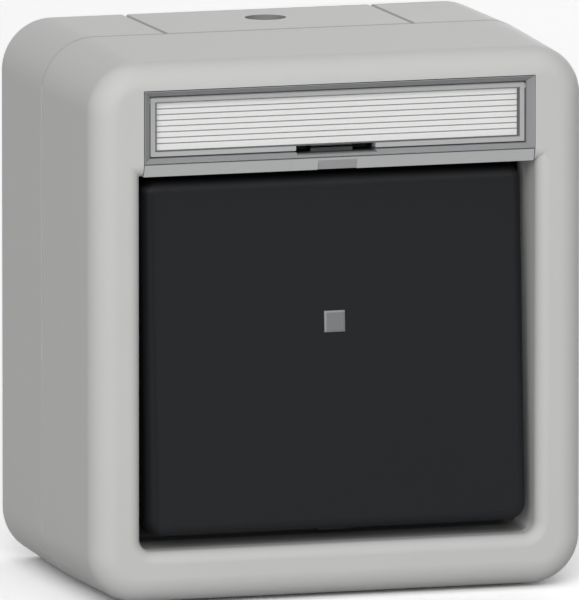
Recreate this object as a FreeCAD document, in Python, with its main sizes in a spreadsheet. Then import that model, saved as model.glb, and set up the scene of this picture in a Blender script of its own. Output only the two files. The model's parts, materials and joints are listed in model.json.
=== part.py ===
import FreeCAD, Part
import math
import operator
import os

import Sketcher

# Surface-mounted rocker push-button switch with an inscription field.
# Frame: the origin is the centre of the back face on the wall, +X points right
# seen from the front, +Z up, and +Y into the wall, so the front looks along -Y.
# A "depth" below is a distance from the wall towards the front.

# Driving sizes, in millimetres and degrees
SIZES = {
    # Housing shells
    "housing_width": 66.0,
    "housing_height": 70.2,
    "base_depth": 19.75,
    "cover_depth": 22.6,
    "corner_radius": 6.84,
    "base_draft": 0.9,
    "cover_draft": 1.37,
    "wall": 2.2,
    "back_wall": 2.4,
    "front_edge_radius": 3.4,
    "seam_bevel": 0.15,
    "assembly_gap": 0.06,
    # Seal seat between the shells
    "rim_land": 1.05,
    "rebate_depth": 2.4,
    "tongue_length": 1.15,
    "tongue_width": 0.85,
    # Cable entries
    "entry_width": 33.0,
    "entry_thickness": 2.7,
    "entry_gap": 0.12,
    "entry_tongue": 1.2,
    "entry_tongue_height": 0.8,
    "entry_tongue_inset": 0.85,
    "entry_stop": 1.5,
    "entry_bevel": 0.25,
    "entry_notch": 0.5,
    "dimple_diameter": 5.3,
    "dimple_depth": 1.0,
    "dimple_from_wall": 8.4,
    "sleeve_diameter": 11.0,
    "sleeve_bore": 8.0,
    "sleeve_length": 3.0,
    "membrane": 0.7,
    # Wall fixings
    "fixing_spacing_x": 48.0,
    "fixing_spacing_z": 50.0,
    "fixing_hole": 4.4,
    "fixing_collar": 8.4,
    "fixing_collar_height": 1.6,
    "knockout_z": 25.5,
    "knockout_diameter": 12.0,
    "knockout_groove": 0.8,
    "knockout_depth": 1.2,
    # Screws and their posts
    "cover_screw_inset": 3.35,
    "cover_post": 7.0,
    "cover_post_below_seam": 3.6,
    "screw_shank": 2.9,
    "screw_head": 5.4,
    "screw_head_height": 1.8,
    "screw_slot": 0.8,
    "screw_edge": 0.4,
    "screw_grip": 7.0,
    "screw_clearance": 0.5,
    "thread_depth": 8.0,
    "insert_screw_x": 14.0,
    "insert_screw_z": 24.5,
    "insert_post": 6.5,
    "web": 1.4,
    # Rocker opening of the cover
    "bezel_side": 6.65,
    "bezel_bottom": 7.9,
    "bezel_top": 3.85,
    "opening_corner": 1.7,
    "opening_edge_radius": 1.6,
    "recess_depth": 11.85,
    "floor_thickness": 2.0,
    "bezel_wall": 1.8,
    "bezel_front": 2.8,
    "hollow_inset": 0.9,
    "hollow_corner": 4.5,
    # Inscription field
    "label_inset": 0.48,
    "label_height": 11.06,
    "label_depth": 5.5,
    "label_seat": 1.8,
    "label_gap": 0.12,
    "band_land": 0.12,
    "band_width": 0.97,
    "band_drop": 0.8,
    "window_rise": 2.27,
    "window_inset": 0.82,
    "lip_height": 1.73,
    "lip_drop": 0.55,
    "lip_radius": 0.35,
    "patch_width": 5.3,
    "patch_height": 1.25,
    "patch_depth": 0.25,
    "slot_width": 10.2,
    "slot_depth": 4.6,
    "latch_width": 5.2,
    "latch_drop": 3.6,
    "window_gap": 0.2,
    "window_drop": 0.25,
    "window_rim": 0.6,
    "window_notch": 0.3,
    "window_plate": 0.6,
    "window_depth": 1.3,
    "window_floor_gap": 0.35,
    "window_edge_radius": 0.4,
    "hinge_inset": 0.55,
    "lug_diameter": 0.8,
    "lug_length": 0.6,
    "lug_gap": 0.05,
    "strip_thickness": 0.4,
    "strip_gap_side": 0.3,
    "strip_gap": 0.1,
    "strip_line": 0.12,
    "strip_line_depth": 0.12,
    "strip_bands": 8,
    "leg_x": 18.0,
    "leg_width": 4.0,
    "leg_thickness": 1.6,
    "leg_gap": 0.12,
    "leg_hook": 0.6,
    "leg_hook_height": 1.2,
    # Rocker
    "pivot_behind_front": 8.9,
    "pivot_height": -0.15,
    "rocker_tilt": 3.5,
    "rocker_rise": 6.5,
    "rocker_gap": 1.25,
    "rocker_gap_top": 0.85,
    "rocker_gap_bottom": 0.72,
    "rocker_corner": 2.1,
    "rocker_edge": 1.3,
    "rocker_plate": 1.8,
    "rocker_skirt": 5.2,
    "rocker_wall": 1.5,
    "rocker_draft": 1.0,
    "rocker_rib": 1.0,
    "rocker_rib_height": 1.15,
    "rib_pitch": 4.5,
    "stiffener_z": 9.0,
    "stiffener_height": 2.3,
    "tab_width": 4.6,
    "tab_height": 0.3,
    "tab_thickness": 2.2,
    "tab_behind": 1.5,
    # Indicator lens
    "lens_side": 2.65,
    "lens_proud": 0.2,
    "lens_bevel": 0.25,
    "lens_gap": 0.05,
    "lens_flange": 4.4,
    "lens_flange_thickness": 0.8,
    "lens_stem": 2.4,
    "lens_stem_gap": 0.3,
    # Rocker carrier
    "carrier_width": 30.8,
    "carrier_height": 26.0,
    "carrier_plate": 1.6,
    "carrier_corner": 1.5,
    "cheek_corner": 1.2,
    "cheek_thickness": 2.4,
    "cheek_half_height": 4.0,
    "cheek_reach": 1.85,
    "clip_x": 10.0,
    "clip_width": 4.0,
    "clip_thickness": 1.2,
    "clip_hook": 0.5,
    "clip_hook_height": 0.9,
    "pin_diameter": 3.0,
    "pin_clearance": 0.05,
    "pin_seat_gap": 0.02,
    "ear_thickness": 2.2,
    "ear_gap": 0.6,
    "ear_radius": 2.9,
    "ear_crown": 2.4,
    "stop_offset": 10.5,
    "stop_x": 9.0,
    "stop_side": 2.0,
    "stop_gap": 0.07,
    "nose_offset": 12.85,
    "nose_width": 5.0,
    "nose_thickness": 2.4,
    "nose_reach": 2.6,
    "nose_flat": 0.05,
    # Plunger with its seal
    "plunger_diameter": 5.0,
    "plunger_gap": 0.05,
    "plunger_crown": 1.2,
    "plunger_collar": 7.4,
    "plunger_collar_height": 1.5,
    "plunger_neck": 4.4,
    "plunger_neck_length": 1.5,
    "plunger_pin": 2.4,
    "plunger_pin_length": 2.3,
    "guide_clearance": 0.05,
    "collar_gap": 0.1,
    "seal_hole": 10.0,
    "seal_thickness": 1.2,
    "seal_flange": 13.0,
    "seal_flange_thickness": 0.8,
    "seal_bore": 5.6,
    # Switch insert
    "insert_width": 35.0,
    "insert_height": 40.0,
    "insert_corner": 2.0,
    "insert_pad": 1.0,
    "insert_rail_z": 10.0,
    "insert_rail_length": 23.3,
    "insert_body_depth": 11.1,
    "insert_top_thickness": 3.0,
    "chamber_width": 18.0,
    "chamber_height": 8.4,
    "chamber_floor": 1.6,
    "spring_well": 5.6,
    "guide_boss": 8.4,
    "guide_boss_height": 3.0,
    "plate_thickness": 1.2,
    "plate_width": 38.0,
    "plate_height": 41.0,
    "plate_lug": 9.0,
    "plate_corner": 1.5,
    # Contacts and spring
    "bridge_length": 13.0,
    "bridge_width": 4.0,
    "bridge_thickness": 0.6,
    "bridge_corner": 0.5,
    "contact_travel": 1.6,
    "contact_strip": 0.8,
    "contact_strip_width": 2.2,
    "contact_inner_x": 4.4,
    "lamp_contact_x": 0.7,
    "spring_coil": 4.2,
    "spring_wire": 0.55,
    "spring_turns": 3.5,
    # Terminals
    "terminal_x": 12.6,
    "terminal_z": 16.6,
    "clamp_width": 5.6,
    "clamp_height": 4.8,
    "clamp_depth": 7.0,
    "clamp_window": 3.6,
    "clamp_window_depth": 3.4,
    "clamp_back": 1.6,
    "terminal_head": 4.2,
    "terminal_head_height": 1.6,
    "terminal_gap": 0.15,
    "terminal_sunk": 0.9,
    # Lamp and light guide
    "lamp_diameter": 4.6,
    "lamp_socket": 8.4,
    "lamp_seat": 1.5,
    "lamp_below_guide": 0.8,
    "lamp_crown": 2.2,
    "lamp_pin": 0.8,
    "lamp_pin_x": 1.27,
    "guide_diameter": 4.0,
    "guide_flange": 6.4,
    "guide_flange_thickness": 0.9,
    "guide_proud": 0.6,
    "guide_crown": 0.4,
}

doc = FreeCAD.newDocument("rocker_push_switch")
sheet = doc.addObject("Spreadsheet::Sheet", "Sizes")


class Size:
    """A number together with the sheet expression that gives it."""

    def __init__(self, value, text):
        self.value = value
        self.text = text

    def __add__(self, other):
        return combined(self, "+", other)

    def __radd__(self, other):
        return combined(other, "+", self)

    def __sub__(self, other):
        return combined(self, "-", other)

    def __rsub__(self, other):
        return combined(other, "-", self)

    def __mul__(self, other):
        return combined(self, "*", other)

    def __rmul__(self, other):
        return combined(other, "*", self)

    def __truediv__(self, other):
        return combined(self, "/", other)

    def __neg__(self):
        return combined(-1, "*", self)


def as_size(number):
    """The number as a Size, whether it is one already or plain."""
    if isinstance(number, Size):
        return number
    return Size(float(number), repr(number))


OPERATIONS = {
    "+": operator.add,
    "-": operator.sub,
    "*": operator.mul,
    "/": operator.truediv,
}


def combined(first, sign, second):
    """The Size that joins two Sizes or numbers by + - * or /."""
    a = as_size(first)
    b = as_size(second)
    value = OPERATIONS[sign](a.value, b.value)
    return Size(value, "(%s %s %s)" % (a.text, sign, b.text))


def of_angle(function, angle):
    """sin, cos or tan of a Size that holds degrees."""
    value = getattr(math, function)(math.radians(angle.value))
    return Size(value, "%s(%s)" % (function, angle.text))


class SizeSheet:
    """Writes the driving sizes into the spreadsheet and hands them out by name."""

    def __init__(self, values):
        for row, (name, value) in enumerate(values.items(), start=1):
            cell = "B%d" % row
            sheet.set("A%d" % row, name)
            sheet.set(cell, str(value))
            sheet.setAlias(cell, name)
            setattr(self, name, Size(float(value), "Sizes." + name))
        doc.recompute()


s = SizeSheet(SIZES)


class Sketch:
    """A sketch whose every measure is a named constraint bound to the sheet."""

    def __init__(self, body, name, role, offset):
        self.object = body.newObject("Sketcher::SketchObject", name)
        plane = next(f for f in body.Origin.OriginFeatures if f.Role == role)
        self.object.AttachmentSupport = [(plane, "")]
        self.object.MapMode = "FlatFace"
        self.object.AttachmentOffset = FreeCAD.Placement(
            FreeCAD.Vector(0, 0, as_size(offset).value), FreeCAD.Rotation()
        )
        self.object.setExpression("AttachmentOffset.Base.z", as_size(offset).text)
        self.shapes = 0

    def measure(self, kind, geometry, label, size):
        """Adds one named dimension and binds it to its size."""
        value = as_size(size)
        index = self.object.addConstraint(Sketcher.Constraint(kind, *geometry, value.value))
        name = "%s_%d" % (label, self.shapes)
        self.object.renameConstraint(index, name)
        self.object.setExpression("Constraints." + name, value.text)

    def circle(self, x, y, radius):
        """A circle round a point."""
        self.shapes += 1
        centre = FreeCAD.Vector(as_size(x).value, as_size(y).value, 0)
        ring = Part.Circle(centre, FreeCAD.Vector(0, 0, 1), as_size(radius).value)
        index = self.object.addGeometry(ring, False)
        self.measure("DistanceX", (index, 3), "centre_x", x)
        self.measure("DistanceY", (index, 3), "centre_y", y)
        self.measure("Radius", (index,), "radius", radius)

    def polygon(self, corners):
        """A closed outline of straight sides, fixed corner by corner."""
        self.shapes += 1
        points = [FreeCAD.Vector(as_size(x).value, as_size(y).value, 0) for x, y in corners]
        following = points[1:] + points[:1]
        lines = [
            self.object.addGeometry(Part.LineSegment(start, end), False)
            for start, end in zip(points, following)
        ]
        for line, after in zip(lines, lines[1:] + lines[:1]):
            self.object.addConstraint(Sketcher.Constraint("Coincident", line, 2, after, 1))
        for number, (line, (x, y)) in enumerate(zip(lines, corners)):
            self.measure("DistanceX", (line, 1), "x%d" % number, x)
            self.measure("DistanceY", (line, 1), "y%d" % number, y)

    def stepped(self, corners, radii):
        """A closed outline, counter-clockwise, of upright and level sides by turns.

        Each corner has a radius, which may be None for a sharp one.
        """
        self.shapes += 1
        count = len(corners)
        points = [FreeCAD.Vector(as_size(x).value, as_size(y).value, 0) for x, y in corners]
        ways = [(points[(i + 1) % count] - points[i]).normalize() for i in range(count)]
        trims = [as_size(radius).value if radius is not None else 0 for radius in radii]
        lines = []
        for i in range(count):
            after = (i + 1) % count
            start = points[i] + ways[i] * trims[i]
            end = points[after] - ways[i] * trims[after]
            lines.append(self.object.addGeometry(Part.LineSegment(start, end), False))
        for i in range(count):
            level = abs(ways[i].y) < abs(ways[i].x)
            kind = "Horizontal" if level else "Vertical"
            self.object.addConstraint(Sketcher.Constraint(kind, lines[i]))
            if level:
                self.measure("DistanceY", (lines[i], 1), "side%d" % i, corners[i][1])
            else:
                self.measure("DistanceX", (lines[i], 1), "side%d" % i, corners[i][0])
        for i in range(count):
            before = lines[i - 1]
            if radii[i] is None:
                self.object.addConstraint(Sketcher.Constraint("Coincident", before, 2, lines[i], 1))
            else:
                self.round_corner(i, points[i], ways[i - 1], ways[i], before, lines[i], radii[i])

    def round_corner(self, number, corner, way_in, way_out, before, after, radius):
        """Joins two sides of a stepped outline by a tangent arc."""
        size = as_size(radius).value
        centre = corner - way_in * size + way_out * size
        left_turn = way_in.cross(way_out).z > 0
        first = corner - way_in * size if left_turn else corner + way_out * size
        last = corner + way_out * size if left_turn else corner - way_in * size
        angles = [math.atan2(p.y - centre.y, p.x - centre.x) for p in (first, last)]
        ring = Part.Circle(centre, FreeCAD.Vector(0, 0, 1), size)
        if angles[1] < angles[0]:
            angles[1] += 2 * math.pi
        arc = self.object.addGeometry(Part.ArcOfCircle(ring, angles[0], angles[1]), False)
        entry, leaving = (1, 2) if left_turn else (2, 1)
        self.object.addConstraint(Sketcher.Constraint("Tangent", before, 2, arc, entry))
        self.object.addConstraint(Sketcher.Constraint("Tangent", arc, leaving, after, 1))
        self.measure("Radius", (arc,), "corner%d" % number, radius)

    def rectangle(self, left, right, low, high, radius=None):
        """A rectangle between four sides, with one radius at its corners."""
        corners = [(left, low), (right, low), (right, high), (left, high)]
        self.stepped(corners, [radius] * len(corners))

    def centred_rectangle(self, half_width, half_height, radius=None):
        """A rectangle about the sketch's origin."""
        self.rectangle(-half_width, half_width, -half_height, half_height, radius)


pieces = []


class Piece:
    """One separate piece of the switch, built as a body of sketches and features."""

    def __init__(self, label):
        self.body = doc.addObject("PartDesign::Body", label)
        self.body.Label = label
        self.names = 0
        self.steps = []
        pieces.append(self)

    def named(self, kind):
        """A name for the next sketch or feature of this piece."""
        self.names += 1
        return "%s_%s_%d" % (self.body.Label, kind, self.names)

    def front(self, depth):
        """A sketch seen from the front, at a depth from the wall: X right, Z up."""
        return Sketch(self.body, self.named("front"), "XZ_Plane", depth)

    def side(self, x=0):
        """A sketch seen from the right: minus the depth across, Z up."""
        return Sketch(self.body, self.named("side"), "YZ_Plane", x)

    def top(self, z=0):
        """A sketch seen from above: X across, minus the depth up."""
        return Sketch(self.body, self.named("top"), "XY_Plane", z)

    def feature(self, kind, name, grows=None):
        """Adds a feature, and notes whether it should add material or take it away."""
        feature = self.body.newObject("PartDesign::" + kind, self.named(name))
        feature.Refine = False
        self.steps.append((feature, grows))
        return feature

    def pad(self, sketch, length, back=False, middle=False, draft=None):
        """Adds material from a sketch along its normal, or back, or both ways."""
        return self.extrude("Pad", sketch, length, back, middle, draft)

    def pocket(self, sketch, length=None, back=True, middle=False, draft=None):
        """Cuts from a sketch against its normal (back) or along it, or through all."""
        return self.extrude("Pocket", sketch, length, not back, middle, draft)

    def extrude(self, kind, sketch, length, turned, middle, draft):
        """Pads or pockets a sketch by a length, or cuts through all."""
        feature = self.feature(kind, kind.lower(), kind == "Pad")
        feature.Profile = sketch.object
        if length is None:
            feature.Type = "ThroughAll"
        else:
            feature.Length = as_size(length).value
            feature.setExpression("Length", as_size(length).text)
        feature.Reversed = turned
        if middle:
            feature.SideType = "Symmetric"
        if draft is not None:
            feature.TaperAngle = as_size(draft).value
            feature.setExpression("TaperAngle", as_size(draft).text)
        return feature

    def turned(self, sketch):
        """Revolves a sketch round its level axis."""
        feature = self.feature("Revolution", "turned", True)
        feature.Profile = sketch.object
        feature.ReferenceAxis = (sketch.object, ["H_Axis"])
        feature.Angle = 360
        return feature

    def coiled(self, sketch, height, turns):
        """Winds a sketch round its level axis, over a height."""
        feature = self.feature("AdditiveHelix", "coil", True)
        feature.Profile = sketch.object
        feature.ReferenceAxis = (sketch.object, ["H_Axis"])
        feature.Mode = 0
        feature.Height = height.value
        feature.setExpression("Height", height.text)
        feature.Pitch = (height / turns).value
        feature.setExpression("Pitch", (height / turns).text)
        return feature

    def funnel(self, outer, inner):
        """Cuts a loft between two sketches."""
        feature = self.feature("SubtractiveLoft", "funnel", False)
        feature.Profile = outer.object
        feature.Sections = [inner.object]
        feature.Ruled = True
        return feature

    def edges(self, low, high):
        """The tip's edges inside a box of (width, depth, z) corners; width is X without its sign."""
        margin = 0.01
        found = []
        for number, edge in enumerate(self.body.Tip.Shape.Edges, start=1):
            points = [vertex.Point for vertex in edge.Vertexes]
            points.append(edge.valueAt((edge.FirstParameter + edge.LastParameter) / 2))
            places = [(abs(point.x), -point.y, point.z) for point in points]
            above = all(
                least is None or place[way] >= as_size(least).value - margin
                for place in places
                for way, least in enumerate(low)
            )
            below = all(
                most is None or place[way] <= as_size(most).value + margin
                for place in places
                for way, most in enumerate(high)
            )
            if above and below:
                found.append("Edge%d" % number)
        return found

    def dress(self, kind, size, low, high):
        """Rounds (Fillet) or bevels (Chamfer) the edges inside a box."""
        doc.recompute()
        names = self.edges(low, high)
        if not names:
            raise RuntimeError("%s has no edge to %s" % (self.body.Label, kind))
        base = self.body.Tip
        feature = self.feature(kind, kind.lower())
        feature.Base = (base, names)
        measure = "Radius" if kind == "Fillet" else "Size"
        setattr(feature, measure, as_size(size).value)
        feature.setExpression(measure, as_size(size).text)
        return feature

    def repeated(self, features, role, length, count):
        """Repeats features along an origin axis, over a length in all."""
        feature = self.feature("LinearPattern", "row")
        feature.Originals = features
        axis = next(f for f in self.body.Origin.OriginFeatures if f.Role == role)
        feature.Direction = (axis, [""])
        feature.Length = as_size(length).value
        feature.setExpression("Length", as_size(length).text)
        feature.Occurrences = int(as_size(count).value)
        feature.setExpression("Occurrences", as_size(count).text)
        self.body.Tip = feature
        return feature

    def done(self):
        """Merges split faces and sees that each step changed the piece as meant."""
        self.body.Tip.Refine = True
        doc.recompute()
        for feature, grows in self.steps:
            if "Invalid" in feature.State or "Error" in feature.State:
                raise RuntimeError("%s failed" % feature.Name)
            before = feature.BaseFeature.Shape.Volume if feature.BaseFeature else 0.0
            if grows is not None and (feature.Shape.Volume > before) != grows:
                raise RuntimeError("%s did not change the piece as meant" % feature.Name)
        return self

    def moved(self, x=0, y=0, z=0):
        """Places the whole piece."""
        for axis, value in zip("xyz", (x, y, z)):
            self.body.setExpression("Placement.Base." + axis, as_size(value).text)
        doc.recompute()

    def tilted(self):
        """Turns a piece of the rocker, drawn level, to the rocker's rest about its pivot."""
        turn = FreeCAD.Rotation(FreeCAD.Vector(1, 0, 0), -s.rocker_tilt.value)
        self.body.Placement = FreeCAD.Placement(FreeCAD.Vector(), turn)
        self.body.setExpression("Placement.Rotation.Angle", (-s.rocker_tilt).text)
        self.moved(
            y=pivot_depth * tilt_cosine - s.pivot_height * tilt_sine - pivot_depth,
            z=s.pivot_height - pivot_depth * tilt_sine - s.pivot_height * tilt_cosine,
        )


# Planes and outlines that several pieces share
seam = s.base_depth
front = s.base_depth + s.cover_depth
half_width = s.housing_width / 2
half_height = s.housing_height / 2
floor_front = front - s.recess_depth
floor_back = floor_front - s.floor_thickness
rebate_floor = seam - s.rebate_depth
opening_half = half_width - s.bezel_side
opening_bottom = half_height - s.bezel_bottom
label_top = half_height - s.bezel_top
opening_top = label_top - s.label_height
lip_top = opening_top + s.lip_height
cover_screw_x = opening_half - s.cover_screw_inset
entry_seat = half_height - s.entry_thickness
groove_top = half_height - s.entry_tongue_inset
groove_low = groove_top - s.entry_tongue_height
post_top = seam - s.cover_post_below_seam
body_back = s.back_wall + s.insert_pad
body_front = body_back + s.insert_body_depth
top_front = body_front + s.insert_top_thickness
plate_front = top_front + s.plate_thickness
label_half = opening_half - s.label_inset
window_bottom = opening_top + s.window_rise
window_top = label_top - s.window_inset
window_half = label_half - s.band_width
window_seat = front - s.band_drop
window_front = window_seat - s.window_drop
window_back = window_front - s.window_depth
window_floor = window_back - s.window_floor_gap
window_low = window_bottom + s.window_gap
window_high = window_top - s.window_gap
window_side = window_half - s.window_gap
hinge_depth = window_front - s.hinge_inset
hinge_height = window_high - s.hinge_inset
label_back = front - s.label_depth
leg_low = opening_top + s.bezel_wall + s.leg_hook + s.leg_gap
leg_high = leg_low + s.leg_thickness
pivot_depth = front - s.pivot_behind_front
tilt_sine = of_angle("sin", s.rocker_tilt)
tilt_cosine = of_angle("cos", s.rocker_tilt)
rocker_face = pivot_depth + s.rocker_rise
rocker_back = rocker_face - s.rocker_plate
skirt_back = rocker_face - s.rocker_skirt
rocker_half = opening_half - s.rocker_gap
rocker_low = s.rocker_gap_bottom - opening_bottom
rocker_high = opening_top - s.rocker_gap_top
carrier_front = rocker_back - s.rocker_rib_height
carrier_back = carrier_front - s.carrier_plate
ear_start = s.carrier_width / 2 + s.ear_gap
cheek_inner = s.carrier_width / 2 - s.cheek_thickness
nose_radius = s.nose_thickness / 2
nose_rest = (s.nose_reach - nose_radius) * tilt_cosine + nose_radius - s.nose_offset * tilt_sine
plunger_height = s.pivot_height - s.nose_offset
plunger_top = pivot_depth - nose_rest - s.plunger_gap
collar_front = body_front - s.collar_gap
collar_back = collar_front - s.plunger_collar_height
bridge_front = collar_back - s.plunger_neck_length
bridge_back = bridge_front - s.bridge_thickness
contact_front = bridge_back - s.contact_travel
contact_back = contact_front - s.contact_strip
cell_floor = body_back + s.chamber_floor
clamp_front = cell_floor + s.clamp_depth
lamp_back = top_front - s.lamp_seat
lamp_front = floor_back - s.guide_flange_thickness - s.lamp_below_guide
insert_screw_spots = [(side * s.insert_screw_x, -side * s.insert_screw_z) for side in (-1, 1)]
terminal_spots = [(x * s.terminal_x, z * s.terminal_z) for x in (-1, 1) for z in (-1, 1)]


def span(near, far, side):
    """Two distances from the middle as a low and a high one, on either side."""
    return (near, far) if side > 0 else (-far, -near)


def base_housing():
    """The open shell on the wall, with its rim seat, posts and fixing holes."""
    piece = Piece("base_housing")
    outline = piece.front(seam)
    outline.centred_rectangle(half_width, half_height, s.corner_radius)
    piece.pad(outline, seam, back=True, draft=-s.base_draft)
    piece.dress("Chamfer", s.seam_bevel, (None, seam, None), (None, seam, None))

    cavity = piece.front(seam)
    cavity.centred_rectangle(half_width - s.wall, half_height - s.wall, s.corner_radius - s.wall)
    piece.pocket(cavity, seam - s.back_wall, draft=-s.base_draft)

    rebate = piece.front(seam)
    rebate.centred_rectangle(
        half_width - s.rim_land, half_height - s.rim_land, s.corner_radius - s.rim_land
    )
    piece.pocket(rebate, s.rebate_depth)

    # Ways for the two slide-in cable entries, with a groove down each side
    entry_half = s.entry_width / 2
    ways = piece.front(seam)
    for side in (-1, 1):
        ways.rectangle(-entry_half, entry_half, *span(entry_seat, half_height + s.wall, side))
    piece.pocket(ways)
    groove_half = entry_half + s.entry_tongue
    grooves = piece.front(rebate_floor)
    for side in (-1, 1):
        grooves.rectangle(-groove_half, groove_half, *span(groove_low, groove_top, side))
    piece.pocket(grooves, rebate_floor - s.entry_stop)

    # Collared holes for the wall screws
    spots = [(x * s.fixing_spacing_x / 2, z * s.fixing_spacing_z / 2) for x in (-1, 1) for z in (-1, 1)]
    collars = piece.front(s.back_wall)
    for x, z in spots:
        collars.circle(x, z, s.fixing_collar / 2)
    piece.pad(collars, s.fixing_collar_height)
    holes = piece.front(s.back_wall + s.fixing_collar_height)
    for x, z in spots:
        holes.circle(x, z, s.fixing_hole / 2)
    piece.pocket(holes)

    # Posts for the cover screws, each tied to the side wall by a web
    webs = piece.front(s.back_wall)
    web_end = half_width - s.wall / 2
    webs.rectangle(cover_screw_x, web_end, -s.web / 2, s.web / 2)
    webs.rectangle(-web_end, -cover_screw_x, -s.web / 2, s.web / 2)
    piece.pad(webs, post_top - s.back_wall - s.web)
    posts = piece.front(s.back_wall)
    for x in (-cover_screw_x, cover_screw_x):
        posts.circle(x, 0, s.cover_post / 2)
    piece.pad(posts, post_top - s.back_wall)
    threads = piece.front(post_top)
    for x in (-cover_screw_x, cover_screw_x):
        threads.circle(x, 0, s.screw_shank / 2 + s.assembly_gap)
    piece.pocket(threads, s.thread_depth)

    # Posts for the insert screws and rails under the insert
    posts = piece.front(s.back_wall)
    for spot in insert_screw_spots:
        posts.circle(*spot, s.insert_post / 2)
    piece.pad(posts, top_front - s.back_wall)
    threads = piece.front(top_front)
    for spot in insert_screw_spots:
        threads.circle(*spot, s.screw_shank / 2 + s.assembly_gap)
    piece.pocket(threads, s.thread_depth)
    rails = piece.front(s.back_wall)
    for side in (-1, 1):
        low = side * s.insert_rail_z - s.web / 2
        rails.rectangle(-s.insert_rail_length / 2, s.insert_rail_length / 2, low, low + s.web)
    piece.pad(rails, s.insert_pad)

    # Grooves round the two knock-outs for a cable from the wall
    rings = piece.front(0)
    for z in (-s.knockout_z, s.knockout_z):
        rings.circle(0, z, s.knockout_diameter / 2)
        rings.circle(0, z, s.knockout_diameter / 2 - s.knockout_groove)
    piece.pocket(rings, s.knockout_depth, back=False)
    piece.done()


def cover_housing():
    """The front shell with the rocker recess, the label recess and the rocker's bearings."""
    piece = Piece("cover_housing")
    outline = piece.front(seam)
    outline.centred_rectangle(half_width, half_height, s.corner_radius)
    piece.pad(outline, s.cover_depth, draft=-s.cover_draft)
    piece.dress("Fillet", s.front_edge_radius, (None, front, None), (None, front, None))
    piece.dress("Chamfer", s.seam_bevel, (None, seam, None), (None, seam, None))

    cavity = piece.front(seam)
    cavity.centred_rectangle(half_width - s.wall, half_height - s.wall, s.corner_radius - s.wall)
    piece.pocket(cavity, floor_back - seam, back=False, draft=-s.cover_draft)

    # The rocker's recess, rounded into the bezel, then the label's recess above it
    opening = piece.front(front)
    opening.stepped(
        [
            (-opening_half, -opening_bottom),
            (opening_half, -opening_bottom),
            (opening_half, opening_top),
            (-opening_half, opening_top),
        ],
        [s.opening_corner, s.opening_corner, None, None],
    )
    piece.pocket(opening, s.recess_depth)
    piece.dress(
        "Fillet",
        s.opening_edge_radius,
        (None, front, -opening_bottom),
        (opening_half, front, opening_top),
    )
    label = piece.front(front)
    label.rectangle(-label_half, label_half, opening_top, label_top)
    piece.pocket(label, s.label_depth)

    # Hollows behind the bezel's side walls and behind the label
    inner = opening_half + s.bezel_wall
    outer = half_width - s.wall - s.hollow_inset
    low = half_height - s.wall - s.hollow_inset
    inner_low = opening_bottom + s.bezel_wall
    arm_top = opening_top - s.bezel_wall
    bezel = piece.front(floor_back)
    bezel.stepped(
        [
            (-outer, -low),
            (outer, -low),
            (outer, arm_top),
            (inner, arm_top),
            (inner, -inner_low),
            (-inner, -inner_low),
            (-inner, arm_top),
            (-outer, arm_top),
        ],
        [s.hollow_corner, s.hollow_corner] + [None] * 6,
    )
    piece.pocket(bezel, front - s.bezel_front - floor_back, back=False)
    behind = piece.front(floor_back)
    behind.rectangle(-inner, inner, opening_top + s.bezel_wall, label_top)
    piece.pocket(behind, label_back - s.label_seat - floor_back, back=False)

    # Tongue that presses on the gasket
    tongue = piece.front(seam)
    for inset in (s.rim_land + s.assembly_gap, s.rim_land + s.assembly_gap + s.tongue_width):
        tongue.centred_rectangle(half_width - inset, half_height - inset, s.corner_radius - inset)
    piece.pad(tongue, s.tongue_length, back=True)

    # Tubes that the cover screws pass through, down to the posts of the base
    tubes = piece.front(floor_back)
    for x in (-cover_screw_x, cover_screw_x):
        tubes.circle(x, 0, s.cover_post / 2)
    piece.pad(tubes, floor_back - post_top - s.assembly_gap, back=True)
    holes = piece.front(floor_front)
    for x in (-cover_screw_x, cover_screw_x):
        holes.circle(x, 0, (s.screw_shank + s.screw_clearance) / 2)
    piece.pocket(holes)
    sinks = piece.front(floor_front)
    for x in (-cover_screw_x, cover_screw_x):
        sinks.circle(x, 0, (s.screw_head + s.screw_clearance) / 2)
    piece.pocket(sinks, s.screw_head_height)

    # Holes for the plunger's seal and the light guide, and for the label's legs
    ports = piece.front(floor_front)
    ports.circle(0, plunger_height, s.seal_hole / 2)
    ports.circle(0, 0, s.guide_diameter / 2 + s.assembly_gap)
    piece.pocket(ports, s.floor_thickness)
    slots = piece.front(label_back)
    for side in (-1, 1):
        middle = side * s.leg_x
        half = s.leg_width / 2 + s.leg_gap
        low = leg_low - s.leg_hook - s.assembly_gap
        slots.rectangle(middle - half, middle + half, low, leg_high + s.assembly_gap)
    piece.pocket(slots, s.label_seat)

    # Bearing ears of the rocker, one bar with its middle taken out, then the swing's stops
    ear = piece.side()
    ear.stepped(
        [
            (-pivot_depth - s.ear_radius, s.pivot_height - s.ear_radius),
            (-floor_front, s.pivot_height - s.ear_radius),
            (-floor_front, s.pivot_height + s.ear_radius),
            (-pivot_depth - s.ear_radius, s.pivot_height + s.ear_radius),
        ],
        [s.ear_crown, None, None, s.ear_crown],
    )
    ear.circle(-pivot_depth, s.pivot_height, s.pin_diameter / 2 + s.pin_clearance)
    piece.pad(ear, 2 * (ear_start + s.ear_thickness), middle=True)
    clear = s.ear_radius + s.assembly_gap
    space = piece.side()
    space.rectangle(
        -pivot_depth - clear, -floor_front, s.pivot_height - clear, s.pivot_height + clear
    )
    piece.pocket(space, 2 * ear_start, middle=True)
    stops = piece.front(floor_front)
    half = s.stop_side / 2
    for x in (-s.stop_x, s.stop_x):
        for side in (-1, 1):
            middle = s.pivot_height + side * s.stop_offset
            stops.rectangle(x - half, x + half, middle - half, middle + half)
    reach = carrier_back - pivot_depth
    stop_top = pivot_depth + reach * tilt_cosine - (s.stop_offset + half) * tilt_sine
    piece.pad(stops, stop_top - s.stop_gap - floor_front)
    piece.done()


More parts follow.
